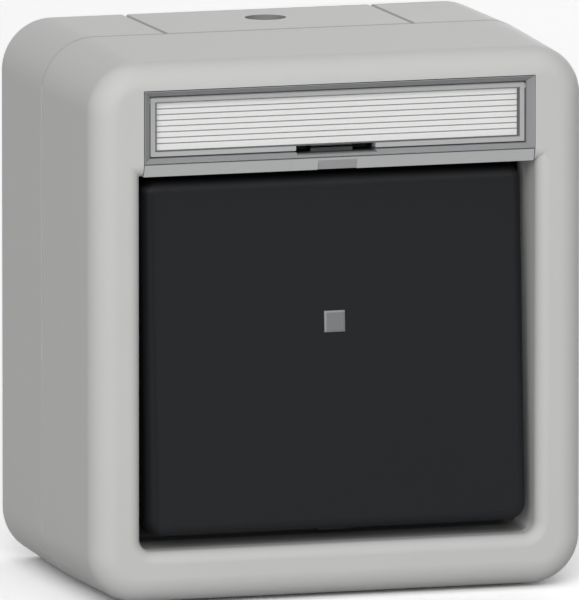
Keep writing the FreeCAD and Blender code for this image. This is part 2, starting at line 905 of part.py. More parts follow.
def cable_entry(label, side):
    """A slide-in cable entry with its tongues, a dimple to pierce and a sleeve inside."""
    piece = Piece(label)
    seat = entry_seat + s.entry_gap
    back_height = half_height - s.base_depth * of_angle("tan", s.base_draft)
    land = half_height - s.rim_land
    section = piece.side()
    corners = [
        (0, seat),
        (0, back_height),
        (-seam, half_height),
        (-seam, land),
        (-rebate_floor, land),
        (-rebate_floor, seat),
    ]
    section.polygon([(x, side * height) for x, height in corners])
    half = s.entry_width / 2 - s.entry_gap
    piece.pad(section, 2 * half, middle=True)
    low, high = span(seat, back_height, side)
    piece.dress("Chamfer", s.entry_notch, (half, 0, low), (half, 0, high))
    low, high = span(back_height, half_height, side)
    piece.dress("Chamfer", s.entry_bevel, (half, 0, low), (half, seam, high))
    seam_edge = (None, seam, side * half_height)
    piece.dress("Chamfer", s.seam_bevel, seam_edge, seam_edge)

    tongue_front = rebate_floor - s.entry_gap
    tongue_back = s.entry_stop + s.entry_gap
    tongues = piece.front(tongue_front)
    tongue_half = half + s.entry_tongue
    heights = span(groove_low + s.entry_gap, groove_top - s.entry_gap, side)
    tongues.rectangle(-tongue_half, tongue_half, *heights)
    piece.pad(tongues, tongue_front - tongue_back, back=True)

    sleeve = piece.top(side * seat)
    sleeve.circle(0, -s.dimple_from_wall, s.sleeve_diameter / 2)
    piece.pad(sleeve, s.sleeve_length, back=side > 0)
    slope = (seam - s.dimple_from_wall) * of_angle("tan", s.base_draft)
    dimple = piece.top(side * half_height)
    dimple.circle(0, -s.dimple_from_wall, s.dimple_diameter / 2)
    piece.pocket(dimple, s.dimple_depth + slope, back=side > 0)
    bore_start = seat - s.sleeve_length
    bore = piece.top(side * bore_start)
    bore.circle(0, -s.dimple_from_wall, s.sleeve_bore / 2)
    bore_length = half_height - slope - s.dimple_depth - s.membrane - bore_start
    piece.pocket(bore, bore_length, back=side < 0)
    piece.done()


def housing_gasket():
    """The sealing ring that lies in the rim of the base under the cover's tongue."""
    piece = Piece("housing_gasket")
    ring = piece.front(rebate_floor)
    for inset in (s.rim_land + s.assembly_gap, s.rim_land + s.assembly_gap + s.tongue_width):
        ring.centred_rectangle(half_width - inset, half_height - inset, s.corner_radius - inset)
    piece.pad(ring, s.rebate_depth - s.tongue_length)
    piece.done()


def screws(label, spots, bearing, head, head_height, length):
    """Slotted cheese-head screws, all of one kind, as separate solids of one piece."""
    piece = Piece(label)
    top = bearing + head_height
    heads = piece.front(bearing)
    for spot in spots:
        heads.circle(*spot, head / 2)
    piece.pad(heads, head_height)
    piece.dress("Fillet", s.screw_edge, (None, top, None), (None, top, None))
    shanks = piece.front(bearing)
    for spot in spots:
        shanks.circle(*spot, s.screw_shank / 2)
    piece.pad(shanks, length, back=True)
    tip = bearing - length
    piece.dress("Chamfer", s.screw_edge, (None, tip, None), (None, tip, None))
    slots = piece.front(top)
    for x, z in spots:
        slots.rectangle(x - head, x + head, z - s.screw_slot / 2, z + s.screw_slot / 2)
    piece.pocket(slots, s.screw_slot)
    piece.done()


def label_frame():
    """The surround of the inscription field, snapped into the cover above the rocker."""
    piece = Piece("label_frame")
    half = label_half - s.label_gap
    top = label_top - s.label_gap
    block = piece.front(label_back)
    block.rectangle(-half, half, opening_top, top)
    piece.pad(block, s.label_depth)

    # The slope of the band, then the seat of the window
    outer = piece.front(front)
    outer.rectangle(-half + s.band_land, half - s.band_land, lip_top, top - s.band_land)
    inner = piece.front(window_seat)
    inner.rectangle(-window_half, window_half, window_bottom, window_top)
    piece.funnel(outer, inner)
    seat = piece.front(window_seat)
    seat.rectangle(-window_half, window_half, window_bottom, window_top)
    piece.pocket(seat, window_seat - window_floor)

    # Two deep wells with the latch bar between them, where a blade lifts the window
    slot_high = window_low + s.window_rim
    well = piece.front(window_floor)
    well.rectangle(-s.slot_width / 2, s.slot_width / 2, window_bottom, slot_high)
    piece.pocket(well, window_floor - (front - s.latch_drop))
    ends = piece.front(front - s.latch_drop)
    ends.rectangle(-s.slot_width / 2, -s.latch_width / 2, window_bottom, slot_high)
    ends.rectangle(s.latch_width / 2, s.slot_width / 2, window_bottom, slot_high)
    piece.pocket(ends, s.slot_depth - s.latch_drop)

    # Sloping lip with a shallow patch, sockets of the window's lugs, and snap legs
    lip = piece.side()
    lip.polygon(
        [
            (-front, lip_top),
            (-front, opening_top),
            (-front + s.lip_drop, opening_top),
        ]
    )
    piece.pocket(lip, 2 * label_half, middle=True)
    edge = front - s.lip_drop
    piece.dress("Fillet", s.lip_radius, (None, edge, opening_top), (None, edge, opening_top))
    patch = piece.front(front)
    patch_half = s.patch_width / 2
    patch.rectangle(-patch_half, patch_half, opening_top, opening_top + s.patch_height)
    piece.pocket(patch, s.lip_drop + s.patch_depth)
    socket = piece.side()
    socket.circle(-hinge_depth, hinge_height, s.lug_diameter / 2 + s.lug_gap)
    piece.pocket(socket, 2 * (window_side + s.lug_length + s.lug_gap), middle=True)
    legs = piece.front(label_back)
    hooks = piece.front(label_back - s.label_seat - s.assembly_gap)
    for side in (-1, 1):
        left = side * s.leg_x - s.leg_width / 2
        legs.rectangle(left, left + s.leg_width, leg_low, leg_high)
        hooks.rectangle(left, left + s.leg_width, leg_low, leg_high + s.leg_hook)
    piece.pad(legs, s.label_seat + s.assembly_gap, back=True)
    piece.pad(hooks, s.leg_hook_height, back=True)
    piece.done()


def label_window():
    """The clear tray over the inscription, turning on two lugs at its top."""
    piece = Piece("label_window")
    tray = piece.front(window_back)
    tray.rectangle(-window_side, window_side, window_low, window_high)
    piece.pad(tray, s.window_depth)
    top = (None, window_front, window_high)
    piece.dress("Fillet", s.window_edge_radius, top, top)
    inside = piece.front(window_back)
    half = window_side - s.window_rim
    inside.rectangle(-half, half, window_low + s.window_rim, window_high - s.window_rim)
    piece.pocket(inside, s.window_depth - s.window_plate, back=False)
    notch = piece.front(window_front)
    notch_high = window_low + s.window_notch
    notch.rectangle(-s.slot_width / 2, s.slot_width / 2, window_bottom, notch_high)
    piece.pocket(notch, s.window_depth)
    for side in (-1, 1):
        lug = piece.side(side * window_side)
        lug.circle(-hinge_depth, hinge_height, s.lug_diameter / 2)
        piece.pad(lug, s.lug_length, back=side < 0)
    piece.done()


def label_strip():
    """The white inscription strip behind the window, ruled by fine grooves."""
    piece = Piece("label_strip")
    half = window_side - s.window_rim - s.strip_gap_side
    low = window_low + s.window_rim + s.strip_gap
    high = window_high - s.window_rim - s.strip_gap
    strip_front = window_front - s.window_plate - s.assembly_gap
    sheet_outline = piece.front(strip_front)
    sheet_outline.rectangle(-half, half, low, high)
    piece.pad(sheet_outline, s.strip_thickness, back=True)
    pitch = (high - low) / s.strip_bands
    line = piece.front(strip_front)
    line.rectangle(-half, half, low + pitch - s.strip_line / 2, low + pitch + s.strip_line / 2)
    groove = piece.pocket(line, s.strip_line_depth)
    piece.repeated([groove], "Z_Axis", pitch * (s.strip_bands - 2), s.strip_bands - 1)
    piece.done()


def rocker():
    """The dark rocker cap with its skirt, ribs, clips and a tab at its lower edge."""
    piece = Piece("rocker")
    outline = piece.front(rocker_face)
    outline.rectangle(-rocker_half, rocker_half, rocker_low, rocker_high, s.rocker_corner)
    piece.pad(outline, s.rocker_skirt, back=True, draft=s.rocker_draft)
    face = (None, rocker_face, None)
    piece.dress("Fillet", s.rocker_edge, face, face)
    cavity = piece.front(skirt_back)
    cavity.rectangle(
        -rocker_half + s.rocker_wall,
        rocker_half - s.rocker_wall,
        rocker_low + s.rocker_wall,
        rocker_high - s.rocker_wall,
        s.rocker_corner - s.rocker_wall,
    )
    piece.pocket(cavity, s.rocker_skirt - s.rocker_plate, back=False)

    # Level ribs that rest on the carrier, and upright ones towards the side walls
    ribs = piece.front(rocker_back)
    rib_half = s.carrier_width / 2
    for step in (-2, -1, 1, 2):
        middle = s.pivot_height + step * s.rib_pitch
        ribs.rectangle(-rib_half, rib_half, middle - s.rocker_rib / 2, middle + s.rocker_rib / 2)
    piece.pad(ribs, s.rocker_rib_height, back=True)
    stiffeners = piece.front(rocker_back)
    for side in (-1, 1):
        for step in (-1, 1):
            across = span(rib_half + s.ear_gap, rocker_half - s.rocker_wall / 2, side)
            middle = s.pivot_height + step * s.stiffener_z
            stiffeners.rectangle(*across, middle - s.rocker_rib / 2, middle + s.rocker_rib / 2)
    piece.pad(stiffeners, s.stiffener_height, back=True)

    # Clips that grip the carrier's upper and lower edges from behind
    edge = s.carrier_height / 2 + s.assembly_gap
    legs = piece.front(rocker_back)
    hooks = piece.front(carrier_back - s.assembly_gap)
    for x in (-s.clip_x, s.clip_x):
        for side in (-1, 1):
            for outline, inner in ((legs, edge), (hooks, edge - s.clip_hook)):
                low, high = span(inner, edge + s.clip_thickness, side)
                outline.rectangle(
                    x - s.clip_width / 2,
                    x + s.clip_width / 2,
                    s.pivot_height + low,
                    s.pivot_height + high,
                )
    piece.pad(legs, rocker_back - carrier_back + s.assembly_gap, back=True)
    piece.pad(hooks, s.clip_hook_height, back=True)

    tab = piece.front(rocker_face - s.tab_behind)
    tab.rectangle(
        -s.tab_width / 2, s.tab_width / 2, rocker_low - s.tab_height, rocker_low + s.rocker_wall / 2
    )
    piece.pad(tab, s.tab_thickness, back=True)
    hole = piece.front(rocker_face)
    hole.rectangle(
        -s.lens_side / 2,
        s.lens_side / 2,
        s.pivot_height - s.lens_side / 2,
        s.pivot_height + s.lens_side / 2,
    )
    piece.pocket(hole, s.rocker_plate)
    piece.done()
    piece.tilted()


def indicator_lens():
    """The small square lens in the middle of the rocker, with a light-guiding stem."""
    piece = Piece("indicator_lens")
    half = s.lens_side / 2 - s.lens_gap
    block = piece.front(rocker_back)
    block.rectangle(-half, half, s.pivot_height - half, s.pivot_height + half)
    piece.pad(block, s.rocker_plate + s.lens_proud)
    tip = rocker_face + s.lens_proud
    piece.dress("Chamfer", s.lens_bevel, (None, tip, None), (None, tip, None))
    flange = piece.front(rocker_back)
    wide = s.lens_flange / 2
    flange.rectangle(-wide, wide, s.pivot_height - wide, s.pivot_height + wide)
    piece.pad(flange, s.lens_flange_thickness, back=True)
    stem = piece.front(rocker_back - s.lens_flange_thickness)
    stem.circle(0, s.pivot_height, s.lens_stem / 2)
    piece.pad(stem, rocker_back - s.lens_flange_thickness - carrier_back, back=True)
    piece.done()
    piece.tilted()


def rocker_carrier():
    """The frame behind the rocker, with its bearing cheeks and the nose for the plunger."""
    piece = Piece("rocker_carrier")
    plate = piece.front(carrier_back)
    wide = s.carrier_width / 2
    high = s.carrier_height / 2
    plate.rectangle(-wide, wide, s.pivot_height - high, s.pivot_height + high, s.carrier_corner)
    plate.circle(0, s.pivot_height, s.lens_stem / 2 + s.lens_stem_gap)
    piece.pad(plate, s.carrier_plate)

    cheek = piece.side()
    cheek.stepped(
        [
            (-carrier_back, s.pivot_height - s.cheek_half_height),
            (s.cheek_reach - pivot_depth, s.pivot_height - s.cheek_half_height),
            (s.cheek_reach - pivot_depth, s.pivot_height + s.cheek_half_height),
            (-carrier_back, s.pivot_height + s.cheek_half_height),
        ],
        [None, s.cheek_corner, s.cheek_corner, None],
    )
    cheek.circle(-pivot_depth, s.pivot_height, s.pin_diameter / 2 + s.pin_seat_gap)
    piece.pad(cheek, s.carrier_width, middle=True)
    space = piece.side()
    space.rectangle(
        -carrier_back,
        s.cheek_reach + s.carrier_plate - pivot_depth,
        s.pivot_height - s.cheek_half_height - s.carrier_plate,
        s.pivot_height + s.cheek_half_height + s.carrier_plate,
    )
    piece.pocket(space, 2 * cheek_inner, middle=True)

    nose = piece.side()
    nose_tip = s.nose_reach - pivot_depth
    nose.stepped(
        [
            (-carrier_back, plunger_height - nose_radius),
            (nose_tip, plunger_height - nose_radius),
            (nose_tip, plunger_height + nose_radius),
            (-carrier_back, plunger_height + nose_radius),
        ],
        [None, nose_radius - s.nose_flat, nose_radius - s.nose_flat, None],
    )
    piece.pad(nose, s.nose_width, middle=True)
    piece.done()
    piece.tilted()


def rocker_pins():
    """Two steel pins, pressed in the carrier's cheeks and turning in the cover's ears."""
    piece = Piece("rocker_pins")
    for side in (-1, 1):
        pin = piece.side(side * cheek_inner)
        pin.circle(-pivot_depth, s.pivot_height, s.pin_diameter / 2)
        piece.pad(pin, ear_start + s.ear_thickness - cheek_inner, back=side < 0)
    piece.done()
    piece.tilted()


def light_guide():
    """The clear rod that carries the lamp's light through the cover's floor."""
    piece = Piece("light_guide")
    rod = piece.front(floor_back)
    rod.circle(0, 0, s.guide_diameter / 2)
    piece.pad(rod, s.floor_thickness + s.guide_proud)
    flange = piece.front(floor_back)
    flange.circle(0, 0, s.guide_flange / 2)
    piece.pad(flange, s.guide_flange_thickness, back=True)
    tip = floor_front + s.guide_proud
    piece.dress("Fillet", s.guide_crown, (None, tip, None), (None, tip, None))
    piece.done()


def plunger():
    """The rod that the rocker presses, with its collar and the pin for the bridge."""
    piece = Piece("plunger")
    profile = piece.side()
    rod = s.plunger_diameter / 2
    collar = s.plunger_collar / 2
    neck = s.plunger_neck / 2
    pin = s.plunger_pin / 2
    pin_back = bridge_back - s.plunger_pin_length
    profile.polygon(
        [
            (-plunger_top, 0),
            (-plunger_top, rod),
            (-collar_front, rod),
            (-collar_front, collar),
            (-collar_back, collar),
            (-collar_back, neck),
            (-bridge_front, neck),
            (-bridge_front, pin),
            (-pin_back, pin),
            (-pin_back, 0),
        ]
    )
    piece.turned(profile)
    crown = (None, plunger_top, None)
    piece.dress("Fillet", s.plunger_crown, crown, crown)
    piece.done()
    piece.moved(z=plunger_height)


def plunger_seal():
    """The rubber seal round the plunger, in its hole of the cover's floor."""
    piece = Piece("plunger_seal")
    ring = piece.front(floor_back)
    ring.circle(0, plunger_height, s.seal_hole / 2 - s.assembly_gap)
    ring.circle(0, plunger_height, s.seal_bore / 2)
    piece.pad(ring, s.seal_thickness)
    flange = piece.front(floor_back)
    flange.circle(0, plunger_height, s.seal_flange / 2)
    flange.circle(0, plunger_height, s.seal_bore / 2)
    piece.pad(flange, s.seal_flange_thickness, back=True)
    piece.done()


def contact_bridge():
    """The brass bridge on the plunger's pin that joins the two switch contacts."""
    piece = Piece("contact_bridge")
    outline = piece.front(bridge_back)
    half = s.bridge_length / 2
    outline.rectangle(
        -half,
        half,
        plunger_height - s.bridge_width / 2,
        plunger_height + s.bridge_width / 2,
        s.bridge_corner,
    )
    outline.circle(0, plunger_height, s.plunger_pin / 2 + s.guide_clearance)
    piece.pad(outline, s.bridge_thickness)
    piece.done()


def return_spring():
    """The coil spring that pushes the plunger and the rocker back."""
    piece = Piece("return_spring")
    wire = piece.side()
    wire_radius = s.spring_wire / 2
    wire.circle(-(bridge_back - wire_radius), s.spring_coil / 2, wire_radius)
    piece.coiled(wire, bridge_back - cell_floor - s.spring_wire, s.spring_turns)
    piece.done()
    piece.moved(z=plunger_height)


def contact_outline(sketch, side, inner, run, end, gap):
    """Draws an L from a contact point out to a terminal, widened by a gap."""
    half = s.contact_strip_width / 2 + gap
    reach = half if end.value > as_size(run).value else -half
    outer = s.terminal_x + half
    corners = [
        (inner - gap, run - reach),
        (outer, run - reach),
        (outer, end),
        (outer - 2 * half, end),
        (outer - 2 * half, run + reach),
        (inner - gap, run + reach),
    ]
    sketch.polygon([(side * x, z) for x, z in corners])


def contact_lines(sketch, run, inner, way, gap):
    """Draws the pair of contacts that lead to the lower or the upper terminals."""
    end = way * (s.terminal_z + s.clamp_height / 2)
    for side in (-1, 1):
        contact_outline(sketch, side, inner, run, end, gap)


def contacts(label, run, inner, way):
    """A pair of brass contact strips that end in their terminals."""
    piece = Piece(label)
    strips = piece.front(contact_back)
    contact_lines(strips, run, inner, way, 0)
    piece.pad(strips, s.contact_strip)
    piece.done()


def insert_body():
    """The block behind, with the contact chamber, the spring's well and four terminal cells."""
    piece = Piece("insert_body")
    block = piece.front(body_back)
    block.centred_rectangle(s.insert_width / 2, s.insert_height / 2, s.insert_corner)
    piece.pad(block, s.insert_body_depth)
    chamber = piece.front(body_front)
    chamber_half = s.chamber_height / 2
    chamber.rectangle(
        -s.chamber_width / 2,
        s.chamber_width / 2,
        plunger_height - chamber_half,
        plunger_height + chamber_half,
    )
    piece.pocket(chamber, body_front - contact_back)
    well = piece.front(contact_back)
    well.circle(0, plunger_height, s.spring_well / 2)
    piece.pocket(well, contact_back - cell_floor)
    channels = piece.front(body_front)
    contact_lines(channels, plunger_height, s.contact_inner_x, -1, s.terminal_gap)
    contact_lines(channels, as_size(0), s.lamp_contact_x, 1, s.terminal_gap)
    piece.pocket(channels, body_front - contact_back)
    cells = piece.front(body_front)
    cell_half = s.clamp_width / 2 + s.terminal_gap
    for across in (-1, 1):
        for side in (-1, 1):
            near = s.terminal_z - s.clamp_height / 2 - s.terminal_gap
            heights = span(near, s.insert_height / 2 + s.insert_corner, side)
            widths = span(s.terminal_x - cell_half, s.terminal_x + cell_half, across)
            cells.rectangle(*widths, *heights)
    piece.pocket(cells, body_front - cell_floor)
    piece.done()


def insert_top():
    """The lid of the block, with the plunger's guide, the lamp socket and screw holes."""
    piece = Piece("insert_top")
    plate = piece.front(body_front)
    plate.centred_rectangle(s.insert_width / 2, s.insert_height / 2, s.insert_corner)
    for spot in terminal_spots:
        plate.circle(*spot, s.terminal_head / 2 + s.terminal_gap)
    piece.pad(plate, s.insert_top_thickness)
    bosses = piece.front(top_front)
    bosses.circle(0, plunger_height, s.guide_boss / 2)
    bosses.circle(0, 0, s.lamp_socket / 2)
    piece.pad(bosses, s.guide_boss_height)
    guide = piece.front(top_front + s.guide_boss_height)
    guide.circle(0, plunger_height, s.plunger_diameter / 2 + s.guide_clearance)
    piece.pocket(guide)
    socket = piece.front(top_front + s.guide_boss_height)
    socket.circle(0, 0, s.lamp_diameter / 2 + s.assembly_gap)
    piece.pocket(socket, s.guide_boss_height + s.lamp_seat)
    pins = piece.front(lamp_back)
    for x in (-s.lamp_pin_x, s.lamp_pin_x):
        pins.circle(x, 0, s.lamp_pin / 2 + s.assembly_gap)
    piece.pocket(pins, lamp_back - body_front)
    piece.done()


def support_plate():
    """The steel plate that holds the insert down, with two lugs for its screws."""
    piece = Piece("support_plate")
    sheet_metal = piece.front(top_front)
    sheet_metal.centred_rectangle(s.plate_width / 2, s.plate_height / 2, s.plate_corner)
    gap = s.screw_clearance
    sheet_metal.circle(0, plunger_height, s.guide_boss / 2 + gap)
    sheet_metal.circle(0, 0, s.lamp_socket / 2 + gap)
    for spot in terminal_spots:
        sheet_metal.circle(*spot, s.terminal_head / 2 + gap)
    piece.pad(sheet_metal, s.plate_thickness)
    lugs = piece.front(top_front)
    lug_half = s.plate_lug / 2
    for x, z in insert_screw_spots:
        side = 1 if z.value > 0 else -1
        heights = span(s.plate_height / 2 - s.plate_corner, s.insert_screw_z + lug_half, side)
        lugs.rectangle(x - lug_half, x + lug_half, *heights, s.plate_corner)
    piece.pad(lugs, s.plate_thickness)
    holes = piece.front(plate_front)
    for spot in insert_screw_spots:
        holes.circle(*spot, (s.screw_shank + gap) / 2)
    piece.pocket(holes)
    piece.done()


def terminal_clamps():
    """Four cage clamps, each with a window for the wire and a threaded hole."""
    piece = Piece("terminal_clamps")
    boxes = piece.front(cell_floor)
    for across in (-1, 1):
        for side in (-1, 1):
            widths = span(
                s.terminal_x - s.clamp_width / 2, s.terminal_x + s.clamp_width / 2, across
            )
            heights = span(
                s.terminal_z - s.clamp_height / 2, s.terminal_z + s.clamp_height / 2, side
            )
            boxes.rectangle(*widths, *heights)
    piece.pad(boxes, s.clamp_depth)
    windows = piece.top()
    window_low_edge = cell_floor + s.clamp_back
    for across in (-1, 1):
        widths = span(s.terminal_x - s.clamp_window / 2, s.terminal_x + s.clamp_window / 2, across)
        windows.rectangle(*widths, -window_low_edge - s.clamp_window_depth, -window_low_edge)
    piece.pocket(windows, s.insert_height, middle=True)
    threads = piece.front(clamp_front)
    for spot in terminal_spots:
        threads.circle(*spot, s.screw_shank / 2 + s.assembly_gap)
    piece.pocket(threads, s.clamp_depth - s.clamp_back - s.clamp_window_depth)
    piece.done()


def indicator_lamp():
    """The lamp that lights the lens, on two pins that reach the lamp contacts."""
    piece = Piece("indicator_lamp")
    bulb = piece.front(lamp_back)
    bulb.circle(0, 0, s.lamp_diameter / 2)
    piece.pad(bulb, lamp_front - lamp_back)
    crown = (None, lamp_front, None)
    piece.dress("Fillet", s.lamp_crown, crown, crown)
    pins = piece.front(lamp_back)
    for x in (-s.lamp_pin_x, s.lamp_pin_x):
        pins.circle(x, 0, s.lamp_pin / 2)
    piece.pad(pins, lamp_back - contact_front, back=True)
    piece.done()


base_housing()
cover_housing()
cable_entry("cable_entry_top", 1)
cable_entry("cable_entry_bottom", -1)
housing_gasket()
cover_spots = [(-cover_screw_x, 0), (cover_screw_x, 0)]
cover_bearing = floor_front - s.screw_head_height
screws(
    "cover_screws",
    cover_spots,
    cover_bearing,
    s.screw_head,
    s.screw_head_height,
    cover_bearing - post_top + s.screw_grip,
)
screws(
    "insert_screws",
    insert_screw_spots,
    plate_front,
    s.screw_head,
    s.screw_head_height,
    s.plate_thickness + s.screw_grip,
)
terminal_bearing = top_front - s.terminal_sunk - s.terminal_head_height
screws(
    "terminal_screws",
    terminal_spots,
    terminal_bearing,
    s.terminal_head,
    s.terminal_head_height,
    terminal_bearing - contact_front,
)
label_frame()
label_window()
label_strip()
rocker()
indicator_lens()
rocker_carrier()
rocker_pins()
light_guide()
plunger()
plunger_seal()
contact_bridge()
return_spring()
insert_body()
insert_top()
support_plate()
contacts("switch_contacts", plunger_height, s.contact_inner_x, -1)
contacts("lamp_contacts", as_size(0), s.lamp_contact_x, 1)
terminal_clamps()
indicator_lamp()

# Every object is sound, and every piece is written to its own file
doc.recompute()
for item in doc.Objects:
    if "Invalid" in item.State or "Error" in item.State:
        raise RuntimeError("%s failed" % item.Name)
os.makedirs("parts", exist_ok=True)
for piece in pieces:
    shape = piece.body.Shape
    if shape.isNull() or not shape.isValid():
        raise RuntimeError("%s has no sound shape" % piece.body.Label)
    shape.exportStep("parts/%s.step" % piece.body.Label)
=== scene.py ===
"""The looks of a surface-mounted rocker push switch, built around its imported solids."""

import bmesh
import bpy
import json
import math
from bpy.props import FloatProperty, FloatVectorProperty, IntProperty, PointerProperty
from mathutils import Matrix, Vector


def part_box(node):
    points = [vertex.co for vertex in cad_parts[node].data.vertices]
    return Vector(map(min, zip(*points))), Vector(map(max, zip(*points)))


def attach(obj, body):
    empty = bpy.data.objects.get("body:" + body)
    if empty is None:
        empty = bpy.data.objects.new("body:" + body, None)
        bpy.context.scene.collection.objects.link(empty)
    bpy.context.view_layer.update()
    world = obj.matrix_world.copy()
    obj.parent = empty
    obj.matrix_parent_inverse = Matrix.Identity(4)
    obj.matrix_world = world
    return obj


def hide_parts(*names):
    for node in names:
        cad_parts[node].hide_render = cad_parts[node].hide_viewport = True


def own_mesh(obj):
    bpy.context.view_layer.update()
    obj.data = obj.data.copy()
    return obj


bl_info = {
    "name": "Rocker Push Switch",
    "version": (1, 0, 0),
    "blender": (4, 5, 0),
    "location": "3D View > Sidebar > Push Switch",
    "description": "Models a surface-mounted rocker push switch with an inscription field",
    "category": "Add Mesh",
}

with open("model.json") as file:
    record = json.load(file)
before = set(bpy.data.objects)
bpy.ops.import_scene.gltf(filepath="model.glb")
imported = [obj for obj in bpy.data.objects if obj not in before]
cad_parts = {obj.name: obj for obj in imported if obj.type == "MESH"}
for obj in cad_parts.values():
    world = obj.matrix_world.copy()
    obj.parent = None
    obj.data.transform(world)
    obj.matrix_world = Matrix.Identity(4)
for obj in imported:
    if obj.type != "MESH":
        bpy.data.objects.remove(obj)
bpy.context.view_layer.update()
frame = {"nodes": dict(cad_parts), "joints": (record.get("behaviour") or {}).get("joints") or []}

# Frame: metres, origin on the wall behind the middle, X right, Z up, Y into the wall.
# A "depth" is a distance from the wall towards the front, so it is minus Y.
SEAM = -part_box("base_housing")[0].y
FRONT = -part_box("cover_housing")[0].y
HALF_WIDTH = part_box("cover_housing")[1].x
HALF_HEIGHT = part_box("cover_housing")[1].z
OUTSIDE = (-HALF_WIDTH, HALF_WIDTH, -HALF_HEIGHT, HALF_HEIGHT)
MM = 0.001
WHITE = (1.0, 1.0, 1.0, 1.0)

# How far a cutting form reaches past a surface, a small overlap and two margins for comparing
BEYOND = 2 * MM
LITTLE = MM / 10
HAIR = MM / 1000
SAME = HAIR / 10


def named(key):
    """The name shown for a property."""
    return key.replace("_", " ").capitalize()


def length(key, millimetres, description):
    """A length that a user may change, in Blender's own units."""
    return FloatProperty(
        name=named(key),
        description=description,
        default=millimetres * MM,
        min=0.0,
        precision=5,
        unit="LENGTH",
    )


def angle(key, degrees, description):
    """An angle that a user may change."""
    return FloatProperty(
        name=named(key),
        description=description,
        default=math.radians(degrees),
        subtype="ANGLE",
    )


def colour(key, red, green, blue, description):
    """A colour that a user may change."""
    return FloatVectorProperty(
        name=named(key),
        description=description,
        default=tuple(linear(part / 255) for part in (red, green, blue)) + (1.0,),
        size=4,
        min=0.0,
        max=1.0,
        subtype="COLOR",
    )


def linear(part):
    """One part of a seen colour as the amount of light it stands for."""
    return part / 12.92 if part <= 0.04045 else ((part + 0.055) / 1.055) ** 2.4


